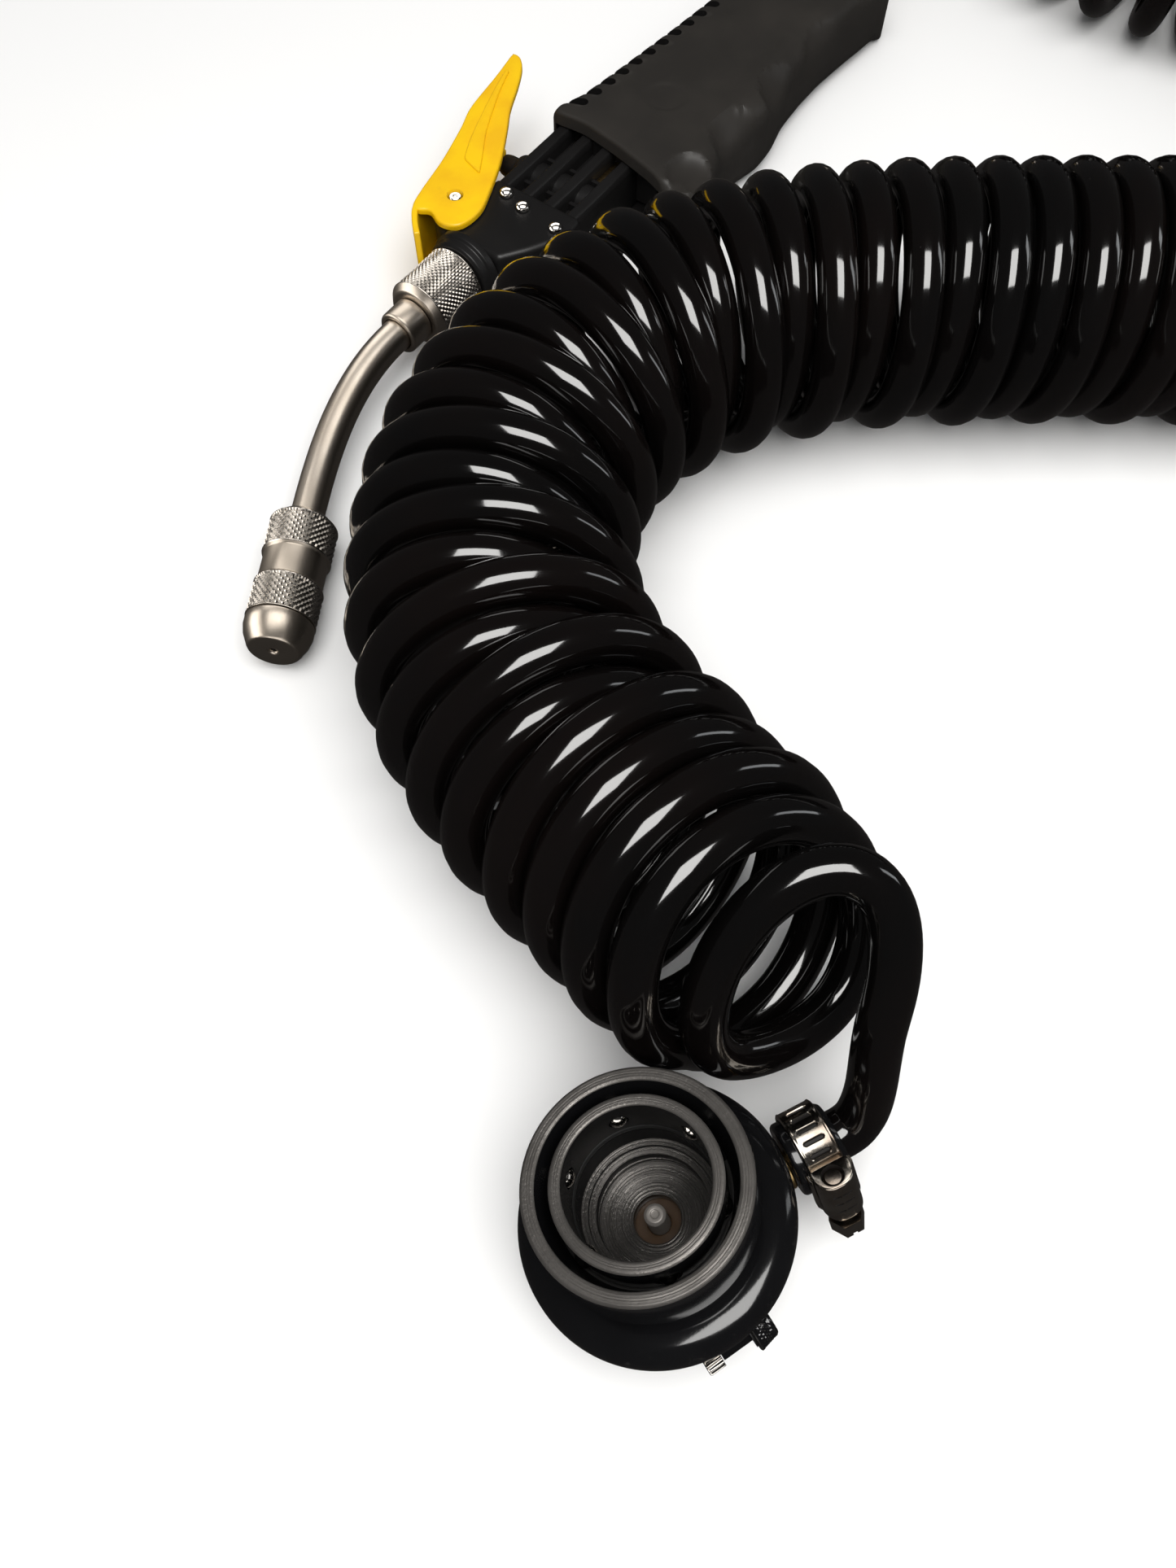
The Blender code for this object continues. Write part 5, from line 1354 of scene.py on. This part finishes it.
def build_lever():
    """Two cheeks joined by a web along the outer edge."""
    outer, inner = spline(LEVER_OUTER), spline(LEVER_INNER)
    cheek = relax(resample(outer[:50] + inner[::-1], 0.6), 2, 2)
    lever = lever_slab(cheek, 9.9, 12.2, 0.1, 1.0, "lever_look")
    carve(lever, lever_slab(lever_web(outer), -14.25, 11.9, 0.7, 0.7), op="UNION")
    carve(lever, lever_slab(cheek, -14.4, -12.1, 1.0, 0.1), op="UNION")
    # the lower side runs out towards the free end
    run_out = prism_bm([(66.0, 20.0), (130.0, 20.0), (130.0, -6.0), (96.0, -4.0)], -20.0, 70.0)
    carve(lever, cutter(run_out, frame(GUN.to_translation(), GUN_X, GUN_Y), YELLOW))
    # raised flank of the upper cheek, and a block inside the web
    flank = relax(resample(spline(FLANK_LOW, 6) + spline(FLANK_HIGH, 6), 0.6), 2, 1)
    carve(lever, lever_slab(flank, 11.6, 13.0, 0.1, 0.7), op="UNION")
    block = resample([(76.5, 24.4), (83.5, 24.4), (83.5, 38.0), (76.5, 38.0)], 0.8)
    carve(lever, lever_slab(block, -4.0, 2.0, 0.3, 0.3), op="UNION")
    pin_hole = [(0, -20), (2.62, -20), (2.62, 11.6), (3.2, 12.6), (0, 12.6)]
    carve(lever, cutter(lathe_bm(pin_hole, 48), LEVER, YELLOW))
    stand(lever, "lever")


build_lever()
stand_turned("lever_pin", [
    (0, -15.2), (3.6, -15.2), (3.6, -14.7), (2.4, -14.7), (2.4, 11.3), (1.9, 11.8), (0.8, 11.8),
    (0.6, 11.5), (0, 11.5)], LEVER, BRIGHT, 48, 0.2)
stand_turned("plunger", [(0, -5.2), (3.9, -5.2), (3.9, 20.4), (3.5, 22.6), (2.2, 23.8),
                         (0, 24.1)], PLUNGER, PLAST_CORE_AND_SHADE, 48, 0.6)
spring("plunger_spring", PLUNGER, radius=3.0, z0=-13.2, z1=-6.0, per=24, wire=0.4,
       material=BRIGHT)

# ---------------------------------------------------------------- gun: inlet and swivel
stand_turned("inlet_fitting", [
    (3.0, 241.0), (8.3, 241.0), (8.3, 250.3), (10.6, 250.3), (10.6, 256.0), (9.9, 256.6),
    (3.0, 256.6)], INLET, STEEL, 72, 0.4)
stand(knurled("swivel_barb_look", [
    (1.7, 257.0), (9.2, 257.0), (9.6, 257.5), (9.6, 267.0), (9.0, 268.0), (7.0, 268.6),
    (7.0, 276.4), (2.5, 276.4)] + barb_ridges(278.0) + [(1.7, 291.5)], [(9.6, 257.8, 266.7)],
    pitch=1.3, depth=0.3, place=INLET, mats=[BRASS], r=0.2), "swivel_barb")
stand_turned("hose_cuff_gun", cuff_profile(HOSE_END, length=19.0, taper=1.5),
             INLET, RUBBER, 64, 0.4)

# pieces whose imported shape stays
for node, material in (("air_tube", BRASS), ("lance_oring", RUBBER), ("nozzle_oring", RUBBER)):
    packed = part["nodes"][node]
    packed.data.materials.clear()
    packed.data.materials.append(material)


# ---------------------------------------------------------------- stage (metres)
def floor_material():
    """Matt white, but nearly black where shiny pieces reflect it."""
    material = bpy.data.materials.new("floor_white")
    material.use_nodes = True
    nodes, links = material.node_tree.nodes, material.node_tree.links
    white = nodes["Principled BSDF"]
    white.inputs["Base Color"].default_value = (0.88, 0.88, 0.88, 1)
    white.inputs["Roughness"].default_value = 0.9
    white.inputs["Specular IOR Level"].default_value = 0.0
    rays = nodes.new("ShaderNodeLightPath")
    dark = nodes.new("ShaderNodeEmission")
    dark.inputs["Color"].default_value = (0.030, 0.028, 0.027, 1)
    choice = nodes.new("ShaderNodeMixShader")
    links.new(rays.outputs["Is Glossy Ray"], choice.inputs[0])
    links.new(white.outputs[0], choice.inputs[1])
    links.new(dark.outputs[0], choice.inputs[2])
    links.new(choice.outputs[0], nodes["Material Output"].inputs[0])
    return material


def build_world():
    """White to the camera, soft fill for diffuse light, dim in reflections."""
    world = bpy.data.worlds.new("studio")
    bpy.context.scene.world = world
    world.use_nodes = True
    nodes, links = world.node_tree.nodes, world.node_tree.links
    background = nodes["Background"]
    background.inputs["Color"].default_value = (1, 1, 1, 1)
    rays = nodes.new("ShaderNodeLightPath")
    fill = nodes.new("ShaderNodeMapRange")
    fill.inputs["To Min"].default_value = 0.42
    fill.inputs["To Max"].default_value = 0.03
    links.new(rays.outputs["Is Glossy Ray"], fill.inputs["Value"])
    seen = nodes.new("ShaderNodeMath")
    seen.operation = "MAXIMUM"
    links.new(fill.outputs["Result"], seen.inputs[0])
    links.new(rays.outputs["Is Camera Ray"], seen.inputs[1])
    links.new(seen.outputs[0], background.inputs["Strength"])


def softbox(name, at, target, size, radiance, colour, only=None):
    """A soft rectangular light; radiance is its own brightness, so its power follows its area.
    With only, it is seen just as a reflection in that collection; else it gives diffuse light."""
    light = bpy.data.lights.new(name, "AREA")
    light.shape = "RECTANGLE"
    light.size, light.size_y = size
    light.energy = radiance * math.pi * size[0] * size[1]
    light.color = colour
    lamp = bpy.data.objects.new(name, light)
    lamp.location = at
    lamp.rotation_mode = "QUATERNION"
    lamp.rotation_quaternion = (Vector(target) - Vector(at)).to_track_quat("-Z", "Y")
    lamp.visible_diffuse, lamp.visible_glossy = only is None, only is not None
    bpy.context.scene.collection.objects.link(lamp)
    if only:
        lamp.light_linking.receiver_collection = only


floor_grid = bmesh.new()
bmesh.ops.create_grid(floor_grid, x_segments=1, y_segments=1, size=3000)
floor = shape("floor", floor_grid)
floor.location = (0, 0, 0)
floor.data.materials.append(floor_material())
build_world()

METALS = (STEEL, KNURL, BRIGHT, CLAMP, BRASS)
metal_set = bpy.data.collections.new("metal_pieces")
dark_set = bpy.data.collections.new("dark_pieces")
for piece in bpy.context.scene.objects:
    if piece.type == "MESH" and piece is not floor:
        own = [m for m in piece.data.materials if m]
        (metal_set if own and own[0] in METALS else dark_set).objects.link(piece)
dark_set.objects.link(floor)

# name, place, target, size, radiance, colour, pieces that reflect it
LIGHTS = [
    ("key_soft", (0.0, -0.35, 0.95), (0.0, 0.0, 0.0), (1.0, 1.0), 4.2, (1.0, 0.99, 0.97), None),
    ("key_shine", (0.0, -0.38, 0.92), (0.0, 0.0, 0.0), (0.56, 0.50), 8.0, (1.0, 0.99, 0.97),
     dark_set),
    ("side_shine", (0.95, 0.15, 0.45), (0.0, 0.05, 0.03), (0.15, 0.5), 2.0, (0.95, 0.98, 1.0),
     dark_set),
    ("metal_top", (-0.1, 0.0, 1.1), (-0.1, 0.0, 0.0), (1.1, 0.8), 3.0, (1.0, 0.975, 0.94),
     metal_set),
    ("metal_back", (-0.3, 1.15, 0.85), (-0.1, 0.0, 0.0), (1.6, 0.8), 2.3, (1.0, 0.97, 0.93),
     metal_set),
    ("metal_left", (-1.2, -0.1, 0.45), (-0.1, 0.0, 0.02), (1.4, 0.7), 3.2, (1.0, 0.96, 0.91),
     metal_set),
    ("metal_right", (1.2, -0.2, 0.6), (0.0, 0.0, 0.02), (1.0, 0.8), 0.9, (0.97, 0.98, 1.0),
     metal_set),
    ("metal_front", (-0.1, -1.3, 0.5), (-0.1, 0.0, 0.02), (1.6, 0.8), 2.0, (1.0, 0.97, 0.94),
     metal_set),
]
for light_row in LIGHTS:
    softbox(*light_row)

lens = bpy.data.cameras.new("camera")
lens.sensor_fit, lens.sensor_width, lens.lens = "AUTO", 36.0, 27.08531396
lens.clip_start, lens.clip_end = 0.01, 20
camera = bpy.data.objects.new("camera", lens)
bpy.context.scene.collection.objects.link(camera)
camera.location = Vector((0, 0, 0.311)) + SHIFT * MILLI
camera.rotation_euler = (math.radians(25.5), 0, 0)
bpy.context.scene.camera = camera
bpy.context.scene.view_settings.view_transform = "Standard"
